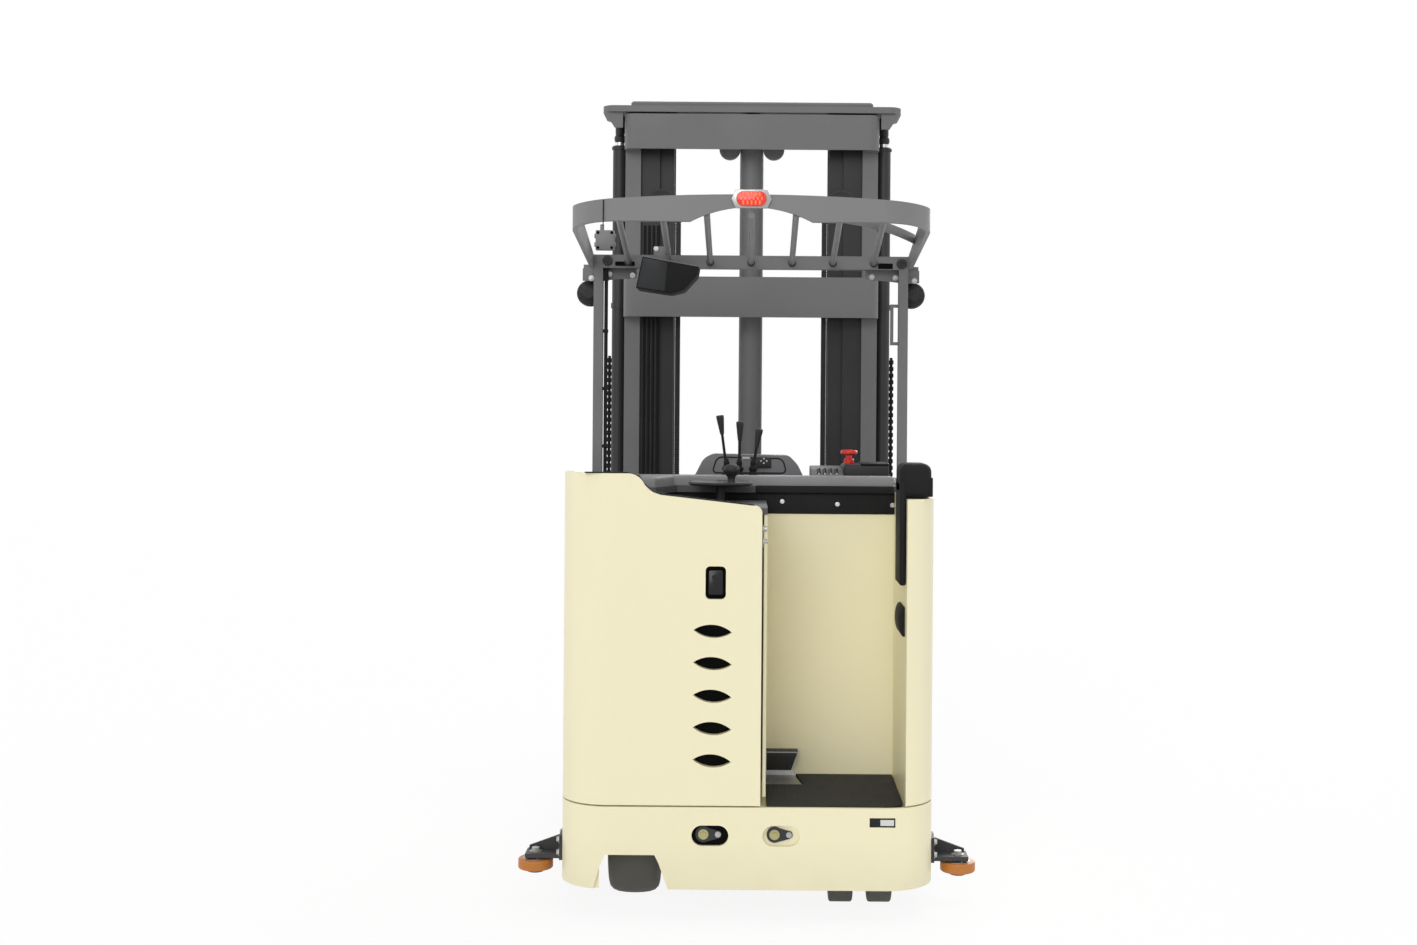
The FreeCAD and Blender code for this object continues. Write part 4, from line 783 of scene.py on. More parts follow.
class STACKER_OT_controls(bpy.types.Operator):
    """Replaces levers, steering wheel, stop button and pods, and adds the pods' keys, switches and display
    rim, and the deck's fascia
    """
    bl_idname = "stacker.controls"
    bl_label = "Controls"

    def execute(self, context):
        low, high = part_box("control_levers")
        y = (low.y + high.y) / 2
        z = low.z
        boots, grips, stems = bmesh.new(), bmesh.new(), bmesh.new()
        levers = ((-0.080, -0.104, 1.536), (-0.0355, -0.034, 1.515), (0.012, 0.033, 1.490))
        boot = [(0.0, 0.0), (0.021, 0.0), (0.020, 0.010), (0.013, 0.016), (0.0125, 0.020), (0.0165, 0.025),
                (0.0165, 0.031), (0.0115, 0.037), (0.0115, 0.041), (0.0148, 0.045), (0.0148, 0.051),
                (0.0095, 0.057), (0.0092, 0.064), (0.0105, 0.067), (0.0100, 0.071), (0.0055, 0.083),
                (0.0, 0.084)]
        shape = [(0.0, -0.066), (0.0068, -0.066), (0.0085, -0.052), (0.0130, -0.012), (0.0134, -0.004),
                 (0.0120, -0.0005), (0.0070, 0.0), (0.0, 0.0002)]
        for x, tip_x, tip_z in levers:
            add_turned(boots, boot, (x, y, z), (0, 0, 1), 28)
            foot, tip = Vector((x, y, z + 0.05)), Vector((tip_x, y, tip_z))
            lean = (tip - foot).normalized()
            add_rod(stems, foot, tip - lean * 0.055, 0.0048, steps=16)
            add_turned(grips, shape, tip, lean, 24)
        piece("lever_boots", boots, "chassis", soft_black(), ("control_levers",))
        piece("lever_stems", stems, "chassis", soft_black())
        piece("lever_grips", grips, "chassis", black_plastic())
        self.wheel()
        self.button()
        self.pods()
        return {"FINISHED"}

    def wheel(self):
        low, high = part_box("steering_wheel")
        x, y, z = (low.x + high.x) / 2, (low.y + high.y) / 2, high.z - 0.068
        bm = bmesh.new()
        dish = [(0.0, 0.001), (0.040, 0.001), (0.060, -0.0004), (0.097, -0.0004), (0.1035, 0.003),
                (0.1044, 0.0065), (0.1025, 0.0105), (0.095, 0.0124), (0.072, 0.0100), (0.040, 0.0110),
                (0.0, 0.0124)]
        add_turned(bm, dish, (x, y, z), (0, 0, 1), 56)
        add_rod(bm, (x, y, low.z), (x, y, z + 0.002), 0.0142)
        knob = [(0.0, 0.010), (0.014, 0.010), (0.012, 0.018), (0.013, 0.027), (0.020, 0.036), (0.0262, 0.045),
                (0.0268, 0.053), (0.0225, 0.062), (0.013, 0.0674), (0.0, 0.0684)]
        add_turned(bm, knob, (x + 0.035, y, z), (0, 0, 1), 36)
        piece("steering_disc", bm, "wheel_control", black_plastic(), ("steering_wheel",))

    def button(self):
        low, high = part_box("e_stop")
        x, y = (low.x + high.x) / 2, (low.y + high.y) / 2
        bm = bmesh.new()
        cap = [(0.0, 0.018), (0.0095, 0.018), (0.0095, 0.030), (0.012, 0.0328), (0.027, 0.0332),
               (0.0294, 0.036), (0.0294, 0.043), (0.0255, 0.0476), (0.012, 0.0490), (0.0, 0.0492)]
        add_turned(bm, cap, (x, y, low.z), (0, 0, 1), 40)
        piece("stop_cap", bm, "chassis", red_button(), ("e_stop",))
        bm = bmesh.new()
        add_turned(bm, [(0.0, 0.0), (0.0174, 0.0), (0.0174, 0.014), (0.0145, 0.0185), (0.0, 0.0206)],
                   (x, y, low.z), (0, 0, 1), 32)
        piece("stop_collar", bm, "chassis", red_button())

    def pods(self):
        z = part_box("control_pods")[0].z
        y = POD_FACE
        self.pod_shell([(-0.226, z), (0.206, z), (0.186, z + 0.024), (0.168, z + 0.062), (0.137, z + 0.0925),
                        (-0.130, z + 0.0965), (-0.163, z + 0.078), (-0.190, z + 0.024)], y, POD_BACK)
        self.pod_rim([(-0.134, z + 0.028), (0.132, z + 0.028), (0.118, z + 0.084), (-0.116, z + 0.088)], z)
        bm = bmesh.new()
        add_plate(bm, rounded(0.048, z + 0.066, 0.056, 0.037, 0.003), 1, y - 0.0030, y - 0.0008, 0.0006)
        piece("key_panel", bm, "chassis", black_plastic())
        bm = bmesh.new()
        add_plate(bm, rounded(-0.013, z + 0.083, 0.026, 0.007, 0.0015), 1, y - 0.0020, y + 0.001)
        for dx, dz in ((0, 0.008), (0, -0.008), (0.010, 0), (-0.010, 0)):
            cx, cz = 0.0497 + dx, z + 0.073 + dz
            add_plate(bm, [(cx - 0.0038, cz), (cx, cz - 0.0034), (cx + 0.0038, cz), (cx, cz + 0.0034)], 1,
                      y - 0.0036, y - 0.0028)
        piece("pod_keys", bm, "chassis", pale_print())
        bm = bmesh.new()
        for row in range(2):
            for i in range(4):
                x = 0.232 + SWITCH_PITCH * i
                add_box(bm, at(x, 0.654 + 0.024 * row, z + 0.026 + 0.008 * row),
                        at(x + 0.012, 0.672 + 0.024 * row, z + 0.044 + 0.008 * row), 0.003, 2)
        piece("pod_switches", bm, "chassis", gloss_black())
        bm = bmesh.new()
        for i in range(4):
            x = 0.236 + SWITCH_PITCH * i
            add_box(bm, at(x, 0.6535, z + 0.031), at(x + 0.005, 0.656, z + 0.037))
        piece("switch_marks", bm, "chassis", pale_print())
        bm = bmesh.new()
        add_box(bm, (0.382, ARM_FACE + 0.0005, z + 0.0640), (0.4775, POD_BACK - 0.001, z + 0.0705), 0.003)
        piece("arm_pad", bm, "chassis", soft_black())
        self.fascia()

    def pod_rim(self, outline, z):
        """Raised frame round the display, cut from a sheet with round corners."""
        bm = bmesh.new()
        sheet = bm.faces.new([bm.verts.new((px, POD_FACE - 0.0016, pz)) for px, pz in outline])
        soften(bm, list(sheet.verts), 0.020, 6, "VERTICES")
        bmesh.ops.inset_region(bm, faces=list(bm.faces), use_boundary=True, use_even_offset=True,
                               thickness=0.0046, depth=0.0)
        centre = Vector((0.0, POD_FACE, z + 0.058))
        middle = min(bm.faces, key=lambda face: (face.calc_center_median() - centre).length)
        bmesh.ops.delete(bm, geom=[middle], context="FACES_ONLY")
        push(bm, list(bm.faces), (0, 0.0026, 0))
        piece("pod_rim", bm, "chassis", soft_black())

    def pod_shell(self, outline, front, back):
        """Display pod with rounded shoulders, its foot, the switch slope and the arm box."""
        low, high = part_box("control_pods")
        z = low.z
        bm = bmesh.new()
        verts = [bm.verts.new((px, front, pz)) for px, pz in outline]
        bm.faces.new(verts)
        soften(bm, [v for v in verts if v.co.z > z + 0.06], 0.012, 4, "VERTICES")
        push(bm, list(bm.faces), (0, back - front, 0))
        rim = [e for e in bm.edges
               if all(abs(v.co.y - front) < SAME_POINT and v.co.z > z + 0.01 for v in e.verts)]
        soften(bm, rim, 0.004, 2)
        add_plate(bm, [(-0.226, z), (0.206, z), (0.184, z + 0.024), (-0.190, z + 0.024)], 1, FOOT_FACE,
                  front + 0.001, 0.004)
        slope = [(ARM_FACE, z), (back, z), (back, z + 0.056), (REAR + 0.700, z + 0.048),
                 (ARM_FACE, z + 0.026)]
        add_plate(bm, slope, 0, 0.212, 0.323, 0.003)
        add_plate(bm, [(0.474, z), (high.x, z), (0.474, z + 0.045)], 1, FOOT_FACE, REAR + 0.840, 0.001)
        piece("pod_shells", bm, "chassis", pod_plastic(), ("control_pods",))
        bm = bmesh.new()
        add_box(bm, (0.322, ARM_FACE, z), (0.478, back, z + 0.066), 0.010, 4)
        piece("arm_box", bm, "chassis", black_plastic())

    def fascia(self):
        """Raised grey rim along the deck's rear edge, in front of the pods; its light grey is partly a
        painted highlight.
        """
        bm = bmesh.new()
        plan = [(-0.562, 0.310), (-0.304, 0.310), (-0.250, 0.468), (0.479, 0.468), (0.479, 0.560),
                (-0.562, 0.560)]
        base = bm.faces.new([bm.verts.new(at(px, py, 1.3030)) for px, py in plan])
        top = push(bm, [base], (0, 0, 0.0335))
        soften(bm, [e for e in bm.edges if all(v in top for v in e.verts)], 0.010, 4)
        piece("deck_fascia", bm, "chassis", fascia_grey_and_highlight())


FRONT_BAR = REAR + 0.725
ROOF_BARS = 7
ROOF_BAR_PITCH = 0.142
CONDUIT_X = -0.503
BOX_FACE = REAR + 0.703


class STACKER_OT_guard(bpy.types.Operator):
    """Adds the guard's bolts, slots drawn as black plates of painted shade, strap plates, conduit, junction
    box, seam and roof brace
    """
    bl_idname = "stacker.guard"
    bl_label = "Guard fittings"

    def execute(self, context):
        y = FRONT_BAR
        bm = bmesh.new()
        for x, z in ((-0.498, 2.070), (0.5225, 2.066)):
            add_rod(bm, (x, y - 0.005, z), (x, y + 0.001, z), 0.0175)
            add_turned(bm, [(0.0, 0.006), (0.0175, 0.005), (0.0145, 0.0085), (0.008, 0.0085), (0.007, 0.006)],
                       (x, y, z), (0, -1, 0), 32)
            add_bolt(bm, (x, y - 0.0055, z), (0, -1, 0), 0.0062, 0.004, washer=False)
        for i in range(ROOF_BARS):
            x = (i - ROOF_BARS // 2) * ROOF_BAR_PITCH
            add_rod(bm, (x, y - 0.003, 2.066), (x, y + 0.001, 2.066), 0.0135, steps=24)
        piece("front_bar_bolts", bm, "chassis", dark_paint())
        # The bar's slots are black plates on its face, painted shade of their openings
        bm = bmesh.new()
        for x0, x1, z0, z1 in ((-0.472, -0.404, 2.052, 2.067), (0.441, 0.492, 2.048, 2.067)):
            slot = rounded((x0 + x1) / 2, (z0 + z1) / 2, x1 - x0, z1 - z0, 0.003)
            add_plate(bm, slot, 1, y - 0.0012, y + 0.0005)
        piece("front_bar_slot_shade", bm, "chassis", deep_black())
        bm = bmesh.new()
        for side in (-1, 1):
            edge = ((0.588, 2.046), (0.588, 2.002), (0.540, 2.000), (0.470, 2.008), (0.400, 2.012),
                    (0.400, 2.046))
            add_plate(bm, [(side * x, z) for x, z in edge], 1, y + 0.0355, y + 0.0385, 0.0008)
        piece("strap_plates", bm, "chassis", mast_paint())
        bm = bmesh.new()
        for x, z in ((-0.558, 2.012), (-0.495, 2.026), (-0.4135, 2.0225), (0.422, 2.0225), (0.504, 2.020),
                     (0.571, 2.010)):
            add_bolt(bm, (x, y + 0.036, z), (0, -1, 0), 0.0066, 0.006)
        piece("strap_bolts", bm, "chassis", zinc_steel())
        bm = bmesh.new()
        add_rod(bm, (CONDUIT_X, y + 0.010, 1.306), (CONDUIT_X, y + 0.010, 2.046), 0.0065, steps=20)
        for z in (1.42, 1.62, 1.82, 2.0):
            add_box(bm, (CONDUIT_X - 0.0115, y + 0.002, z), (CONDUIT_X + 0.008, y + 0.018, z + 0.012),
                    0.002, 2)
        piece("post_conduit", bm, "chassis", soft_black())
        self.junction_box()
        bm = bmesh.new()
        add_box(bm, at(-0.453, 0.0212, 2.112), at(-0.450, 0.0225, 2.192))
        piece("hoop_seam", bm, "chassis", deep_black())
        self.brace()
        return {"FINISHED"}

    def junction_box(self):
        """Cable box at the left end of the front bar, with its ears, gland and screws."""
        y = BOX_FACE
        bm = bmesh.new()
        add_box(bm, (-0.539, y, 2.104), (-0.474, y + 0.0225, 2.174), 0.004)
        for z in (2.124, 2.154):
            add_box(bm, (-0.5435, y + 0.005, z - 0.008), (-0.4695, y + 0.019, z + 0.008), 0.002, 2)
        add_rod(bm, (-0.517, y + 0.011, 2.173), (-0.517, y + 0.011, 2.194), 0.007, steps=20)
        piece("junction_box", bm, "chassis", guard_paint())
        bm = bmesh.new()
        for dx in (-0.024, 0.024):
            for dz in (-0.026, 0.026):
                add_screw(bm, (-0.5065 + dx, y, 2.139 + dz), (0, -1, 0), 0.0052)
        piece("junction_screws", bm, "chassis", deep_black())

    def brace(self):
        """Bowed flat bar from the hoop's rear to its right side."""
        bm = bmesh.new()
        start, end = at(0.140, 0.0375, 2.160), at(0.5455, 0.520, 2.131)
        mid = (start + end) / 2
        along = (end - start).normalized()
        place = Matrix.LocRotScale(mid, along.to_track_quat("X", "Z"), ((end - start).length, 0.006, 0.030))
        bmesh.ops.create_cube(bm, size=1.0, matrix=place)
        long_edges = [e for e in bm.edges if e.calc_length() > 0.3]
        bmesh.ops.subdivide_edges(bm, edges=long_edges, cuts=9, use_grid_fill=True)
        for vert in bm.verts:
            t = min(1.0, (vert.co - start).length / (end - start).length)
            vert.co += Vector((0.040, -0.030, 0.006)) * math.sin(math.pi * t)
        piece("roof_brace", bm, "chassis", guard_paint())


LAMP_X = 0.567
CELL_PITCH = 0.0125


class STACKER_OT_lamps(bpy.types.Operator):
    """Replaces the work lamps and the tail lamp by finished ones"""
    bl_idname = "stacker.lamps"
    bl_label = "Lamps"

    def execute(self, context):
        low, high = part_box("work_lamps")
        y, z = low.y, low.z + 0.046
        shells, lenses = bmesh.new(), bmesh.new()
        shell = [(0.0, 0.0), (0.019, 0.0), (0.021, 0.004), (0.027, 0.006), (0.029, 0.012), (0.0365, 0.014),
                 (0.0375, 0.022), (0.042, 0.024), (0.043, 0.032), (0.0462, 0.036), (0.0462, 0.055),
                 (0.043, 0.057), (0.041, 0.052), (0.0, 0.052)]
        for x in (-LAMP_X, LAMP_X):
            add_turned(shells, shell, (x, y, z), (0, 1, 0), 36)
            add_rod(shells, (x, y + 0.046, z + 0.044), (x, y + 0.046, high.z), 0.007)
            for u, w in around(12, 0.0395):
                add_box(shells, (x + u - 0.0022, y + 0.0135, z + w - 0.0022),
                        (x + u + 0.0022, y + 0.034, z + w + 0.0022))
            for u, w in around(3, 0.033, 90):
                add_screw(shells, (x + u, y + 0.0135, z + w), (0, -1, 0), 0.003)
            lens = [(0.0, 0.0545), (0.028, 0.0545), (0.0405, 0.053), (0.0405, 0.0525), (0.0, 0.0525)]
            add_turned(lenses, lens, (x, y, z), (0, 1, 0), 36)
        piece("lamp_shells", shells, "chassis", black_plastic(), ("work_lamps",))
        piece("lamp_lenses", lenses, "chassis", lamp_glass())
        self.tail()
        return {"FINISHED"}

    def tail(self):
        low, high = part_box("tail_lamp")
        z = (low.z + high.z) / 2
        bm = bmesh.new()
        outline = [(-0.0622, z), (-0.0485, z - 0.0285), (0.0485, z - 0.0285), (0.0622, z),
                   (0.0485, z + 0.0285), (-0.0485, z + 0.0285)]
        add_plate(bm, outline, 1, high.y - 0.008, high.y, 0.002)
        piece("tail_bezel", bm, "chassis", zinc_steel(), ("tail_lamp",))
        bm = bmesh.new()
        add_plate(bm, rounded(0.0, z, 0.092, 0.046, 0.0225, 9), 1, low.y + 0.001, high.y - 0.007, 0.004)
        piece("tail_lens", bm, "chassis", lens_red())
        bm = bmesh.new()
        for row, count in ((-1, 5), (0, 6), (1, 5)):
            middle, tall = z + row * CELL_PITCH, 0.0062 if row else 0.0048
            for i in range(count):
                x = (i - (count - 1) / 2) * CELL_PITCH
                add_box(bm, (x - 0.0026, low.y - 0.0002, middle - tall),
                        (x + 0.0026, low.y + 0.0022, middle + tall), 0.001, 2)
        piece("tail_cells", bm, "chassis", lens_cell())


class STACKER_OT_monitor(bpy.types.Operator):
    """Replaces the monitor housing by a creased box on its bracket"""
    bl_idname = "stacker.monitor"
    bl_label = "Monitor"

    def execute(self, context):
        low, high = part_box("monitor_box")
        bm = bmesh.new()
        y0, y1 = low.y, high.y - 0.020
        outline = [(-0.366, 2.0705), (-0.388, 1.9635), (-0.271, 1.9465), (-0.227, 1.957), (-0.181, 2.008),
                   (-0.1755, 2.0365), (-0.281, 2.0545)]
        add_plate(bm, outline, 1, y0, y1, 0.003)
        add_box(bm, (-0.340, y1 - 0.004, 2.033), (-0.240, high.y, 2.051), 0.002, 2)
        piece("monitor_shell", bm, "chassis", soft_black(), ("monitor_box",))
        bm = bmesh.new()
        screen = [(-0.363, 2.066), (-0.2815, 2.0505), (-0.2905, 1.9535), (-0.383, 1.967)]
        add_plate(bm, screen, 1, y0 - 0.0012, y0 + 0.001, 0.0005)
        piece("monitor_glass", bm, "chassis", screen_black())
        # A strip of grey paint along the housing's top edge is a painted highlight; the box under it is the
        # bracket
        bm = bmesh.new()
        painted_highlight_strip = [(-0.367, 2.0700), (-0.281, 2.0540), (-0.1755, 2.0360), (-0.1755, 2.0395),
                    (-0.281, 2.0582), (-0.3665, 2.0745)]
        add_plate(bm, painted_highlight_strip, 1, y0 - 0.0010, y1 - 0.002)
        add_box(bm, (-0.330, y0 + 0.020, 2.050), (-0.276, y0 + 0.030, 2.106), 0.003, 3)
        piece("monitor_bracket_and_highlight", bm, "chassis", mast_paint())
        bm = bmesh.new()
        add_bolt(bm, (-0.3215, y0 + 0.020, 2.098), (0, -1, 0), 0.0055, 0.004)
        piece("bracket_bolt", bm, "chassis", bright_steel())
        return {"FINISHED"}


# Places of the guide rollers' brackets, forward of the rear face, and where their flanges stand across
BRACKETS = ((0.215, 0.5873), (2.035, 0.6203))


class STACKER_OT_rollers(bpy.types.Operator):
    """Adds the guide rollers' hubs and their brackets' bolts"""
    bl_idname = "stacker.rollers"
    bl_label = "Guide rollers"

    def execute(self, context):
        bodies = {"rear_left": "guide_rl", "rear_right": "guide_rr", "front_left": "guide_fl",
                  "front_right": "guide_fr"}
        for place, body in bodies.items():
            low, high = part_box("guide_roller_" + place)
            x, y = (low.x + high.x) / 2, (low.y + high.y) / 2
            bm = bmesh.new()
            for z, up in ((high.z, 1), (low.z, -1)):
                hub = [(0.0145, -0.001), (0.040, -0.001), (0.040, 0.0012), (0.036, 0.0022),
                       (0.0145, 0.0022), (0.0145, -0.001)]
                add_turned(bm, [(r, h * up) for r, h in hub], (x, y, z), (0, 0, 1))
                for u, w in around(5, 0.029):
                    add_screw(bm, (x + u, y + w, z + 0.0018 * up), (0, 0, up), 0.004)
            piece("hub_" + place, bm, body, zinc_steel())
        bm = bmesh.new()
        for side in (-1, 1):
            for y, flange in BRACKETS:
                for dy in (-0.045, 0.050):
                    for z in (0.165, 0.205):
                        add_bolt(bm, at(side * flange, y + dy, z), (side, 0, 0), 0.009, 0.007)
                add_bolt(bm, at(side * 0.667, y, 0.156), (0, 0, 1), 0.014, 0.010)
        piece("bracket_bolts", bm, "chassis", zinc_steel())
        return {"FINISHED"}


CHAIN_X = 0.2835
SHEAVE_X = 0.350
SHEAVE_RADIUS = 0.062
LINK_LAYER = 0.0036
LINK_HALF = 0.0017
FIRST_HOSE_X = -0.3625
HOSE_STEP = 0.017


class STACKER_OT_chains(bpy.types.Operator):
    """Replaces the plain chain runs and hoses by leaf chains, sheaves and ribbed hoses"""
    bl_idname = "stacker.chains"
    bl_label = "Chains and hoses"

    def execute(self, context):
        low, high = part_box("chain_sheaves")
        y = (low.y + high.y) / 2
        pitch = detail().link_pitch
        bm = bmesh.new()
        top = high.z - SHEAVE_RADIUS
        count = int((top - low.z) / pitch)
        for side in (-1, 1):
            for i in range(count):
                z = low.z + pitch * (i + 0.5)
                for j in range(3):
                    shift = pitch / 2 if j == 1 else 0.0
                    depth = y + (j - 1) * LINK_LAYER
                    link = rounded(side * CHAIN_X, z + shift, 0.0215, pitch * 0.97, 0.0090, 2)
                    add_plate(bm, link, 1, depth - LINK_HALF, depth + LINK_HALF)
        piece("leaf_chains", bm, "middle_stage", chain_steel(), ("chain_sheaves",))
        bm = bmesh.new()
        wheel = [(0.0, -0.0053), (0.020, -0.0053), (0.022, -0.003), (0.050, -0.003), (0.054, -0.0053),
                 (SHEAVE_RADIUS, -0.0053), (0.058, 0.0), (SHEAVE_RADIUS, 0.0053), (0.0, 0.0053)]
        for side in (-1, 1):
            add_turned(bm, wheel, (side * SHEAVE_X, y, top), (0, 1, 0), 48)
        piece("chain_wheels", bm, "middle_stage", dark_paint())
        self.hoses()
        return {"FINISHED"}

    def hoses(self):
        low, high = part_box("hose_bundle")
        y = (low.y + high.y) / 2
        pitch = detail().rib_pitch
        bm = bmesh.new()
        ribs = int((high.z - low.z) / pitch)
        profile = [(0.0, 0.0)]
        for i in range(ribs):
            profile += [(0.0050, pitch * i), (0.0050, pitch * (i + 0.55)), (0.0040, pitch * (i + 0.78))]
        profile += [(0.0045, pitch * ribs), (0.0, pitch * ribs)]
        for i in range(4):
            add_turned(bm, profile, (FIRST_HOSE_X - HOSE_STEP * i, y, low.z), (0, 0, 1), 10)
        piece("ribbed_hoses", bm, "middle_stage", soft_black(), ("hose_bundle",))


CYLINDER_X = 0.5175
CYLINDER_Y = REAR + 1.470
DRAG_X = 0.556
DRAG_PITCH = 0.026


def collar(inner, outer, height):
    """Profile of a plain ring."""
    return [(inner, 0.0), (outer, 0.0), (outer, height), (inner, height), (inner, 0.0)]


class STACKER_OT_mast(bpy.types.Operator):
    """Adds the lift cylinders' glands and straps, the rod ends and the drag chains"""
    bl_idname = "stacker.mast"
    bl_label = "Mast fittings"

    def execute(self, context):
        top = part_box("lift_cylinders")[1].z
        x, y = CYLINDER_X, CYLINDER_Y
        gland = [(0.0172, 0.0), (0.0315, 0.0), (0.0315, 0.009), (0.027, 0.0135), (0.0172, 0.0135),
                 (0.0172, 0.0)]
        bm = bmesh.new()
        for side in (-1, 1):
            add_turned(bm, gland, (side * x, y, top), (0, 0, 1))
            for z in (0.45, 1.2, 1.95):
                add_turned(bm, collar(0.0272, 0.031, 0.02), (side * x, y, z), (0, 0, 1))
        piece("cylinder_glands", bm, "chassis", dark_paint())
        bm = bmesh.new()
        turns = [math.radians(degrees) for degrees in range(-60, 61, 15)]
        arc = [(0.0226 * math.cos(a), 0.614 + 0.0226 * math.sin(a)) for a in turns]
        ball = [(0.0, 0.5925)] + arc + [(0.0, 0.6365)]
        for side in (-1, 1):
            add_turned(bm, ball, (side * x, y, 2.0), (0, 0, 1), 32)
            add_rod(bm, (side * x, y, 2.634), (side * x, y, 2.699), 0.0182)
        piece("rod_ends", bm, "middle_stage", dark_paint())
        bm = bmesh.new()
        for side in (-1, 1):
            x = side * DRAG_X
            for i in range(44):
                z = 0.62 + DRAG_PITCH * i
                add_box(bm, at(x - 0.009, 1.50, z), at(x + 0.009, 1.53, z + 0.018), 0.003, 1)
                add_box(bm, at(x - 0.005, 1.505, z + 0.017), at(x + 0.005, 1.525, z + 0.027))
        piece("drag_chains", bm, "chassis", soft_black())
        return {"FINISHED"}


class STACKER_OT_wheels(bpy.types.Operator):
    """Adds the hubs and nuts of the road wheels, and replaces the drive wheel's tread"""
    bl_idname = "stacker.wheels"
    bl_label = "Road wheels"

    def execute(self, context):
        wheels = (("drive_wheel", "drive_tyre", 0.112), ("load_wheel_left", "load_left", 0.116),
                  ("load_wheel_right", "load_right", 0.116))
        for name, body, radius in wheels:
            low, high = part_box(name)
            y, z = (low.y + high.y) / 2, (low.z + high.z) / 2
            if name == "drive_wheel":
                self.tyre(low, high, y, z)
            bm = bmesh.new()
            for x, out in ((low.x + 0.004, -1), (high.x - 0.004, 1)):
                hub = [(0.030, 0.0), (radius, 0.0), (radius, 0.003 * out), (0.060, 0.0015 * out),
                       (0.050, 0.003 * out), (0.030, 0.003 * out), (0.030, 0.0)]
                add_turned(bm, hub, (x, y, z), (1, 0, 0), 48)
                for u, w in around(6, 0.080):
                    add_bolt(bm, (x + 0.0015 * out, y + u, z + w), (out, 0, 0), 0.009, 0.0022, washer=False)
            piece("hub_of_" + name, bm, body, dark_paint())
        return {"FINISHED"}

    def tyre(self, low, high, y, z):
        """Crowned solid tyre with worn shoulders, on its steel band."""
        half, r = (high.x - low.x) / 2, (high.z - low.z) / 2
        crown = [(0.028, half), (0.110, half), (0.116, half - 0.004), (r - 0.030, half - 0.001),
                 (r - 0.020, half - 0.004), (r - 0.010, half - 0.014), (r - 0.004, half - 0.030),
                 (r - 0.001, half - 0.052), (r, half - 0.076)]
        profile = crown + [(radius, -h) for radius, h in reversed(crown)] + [(0.028, half)]
        bm = bmesh.new()
        add_turned(bm, profile, ((low.x + high.x) / 2, y, z), (1, 0, 0), 72)
        piece("drive_tread", bm, "drive_tyre", tread_rubber(), ("drive_wheel",))


RACK_TEETH = 96
RACK_TALL = 0.012
RACK_INSET = 0.084
RACK_END = 0.04
MOTOR_X = -0.130
MOTOR_FACE = REAR + 1.7466
PIVOT_Y = REAR + 2.372


class STACKER_OT_head(bpy.types.Operator):
    """Adds the traverse racks and motor, the pivot's cap and the fork latches"""
    bl_idname = "stacker.head"
    bl_label = "Fork head fittings"

    def execute(self, context):
        low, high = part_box("traverse_frame")
        bm = bmesh.new()
        step = (high.x - low.x - 2 * RACK_END) / RACK_TEETH
        for z0 in (low.z + RACK_INSET, high.z - RACK_INSET - RACK_TALL):
            z1 = z0 + RACK_TALL
            for i in range(RACK_TEETH):
                x = low.x + RACK_END + step * i
                tooth = [(x, z0), (x + step * 0.72, z0), (x + step * 0.54, z1), (x + step * 0.18, z1)]
                add_plate(bm, tooth, 1, low.y + 0.004, low.y + 0.026)
        piece("traverse_racks", bm, "lift_carriage", zinc_steel())
        bm = bmesh.new()
        y0, y = MOTOR_FACE, MOTOR_FACE + 0.08
        add_box(bm, (MOTOR_X - 0.035, y0, 0.700), (MOTOR_X + 0.035, y0 + 0.16, 0.790), 0.008)
        add_rod(bm, (MOTOR_X, y, 0.789), (MOTOR_X, y, 0.945), 0.042)
        add_rod(bm, (MOTOR_X, y, 0.944), (MOTOR_X, y, 0.962), 0.030)
        for z in (0.44, 1.02):
            for side in (-1, 1):
                for dx in (0.10, 0.14):
                    add_bolt(bm, (side * dx, y0, z), (0, 1, 0), 0.011, 0.008)
        piece("traverse_motor", bm, "traverse_slide", dark_paint())
        bm = bmesh.new()
        add_turned(bm, [(0.0, 0.0), (0.075, 0.0), (0.075, 0.010), (0.045, 0.014), (0.0, 0.014)],
                   (0, PIVOT_Y, 1.0782), (0, 0, 1))
        piece("swivel_cap", bm, "turret", zinc_steel())
        bm = bmesh.new()
        for x in (-0.190, 0.190):
            add_rod(bm, at(x, 2.500, 0.5262), at(x, 2.500, 0.536), 0.010)
            add_box(bm, at(x - 0.018, 2.492, 0.534), at(x + 0.018, 2.508, 0.5395), 0.002, 2)
        piece("fork_latches", bm, "turret", zinc_steel())
        return {"FINISHED"}


VENT_PITCH = 0.035


class STACKER_OT_sides(bpy.types.Operator):
    """Adds vents, drawn as black plates of painted shade, and screws to the battery cover's sides"""
    bl_idname = "stacker.sides"
    bl_label = "Body sides"

    def execute(self, context):
        low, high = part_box("battery_cover")
        # The vents are black plates on the cover's sides, painted shade of their openings
        bm = bmesh.new()
        for side, x in ((-1, low.x), (1, high.x)):
            for i in range(7):
                outline = rounded(REAR + 1.045, 0.90 + VENT_PITCH * i, 0.170, 0.014, 0.006, 4)
                add_plate(bm, outline, 0, x - 0.0012 * side, x + 0.0006 * side)
        piece("side_vent_shade", bm, "chassis", deep_black())
        bm = bmesh.new()
        for side, x in ((-1, low.x), (1, high.x)):
            for y in (0.60, 0.86, 0.94, 1.15):
                for z in (0.40, 1.24):
                    add_screw(bm, at(x, y, z), (side, 0, 0), 0.007)
        piece("side_screws", bm, "chassis", zinc_steel())
        return {"FINISHED"}


FLOOR_HALF = 30.0
FLOOR_SHADE = 0.94
FLOOR_EVEN_SHARE = 0.9
ROOM_LIGHT = 0.35
SUN_SPREAD = math.radians(40)
SUN_GLOSS = 0.3

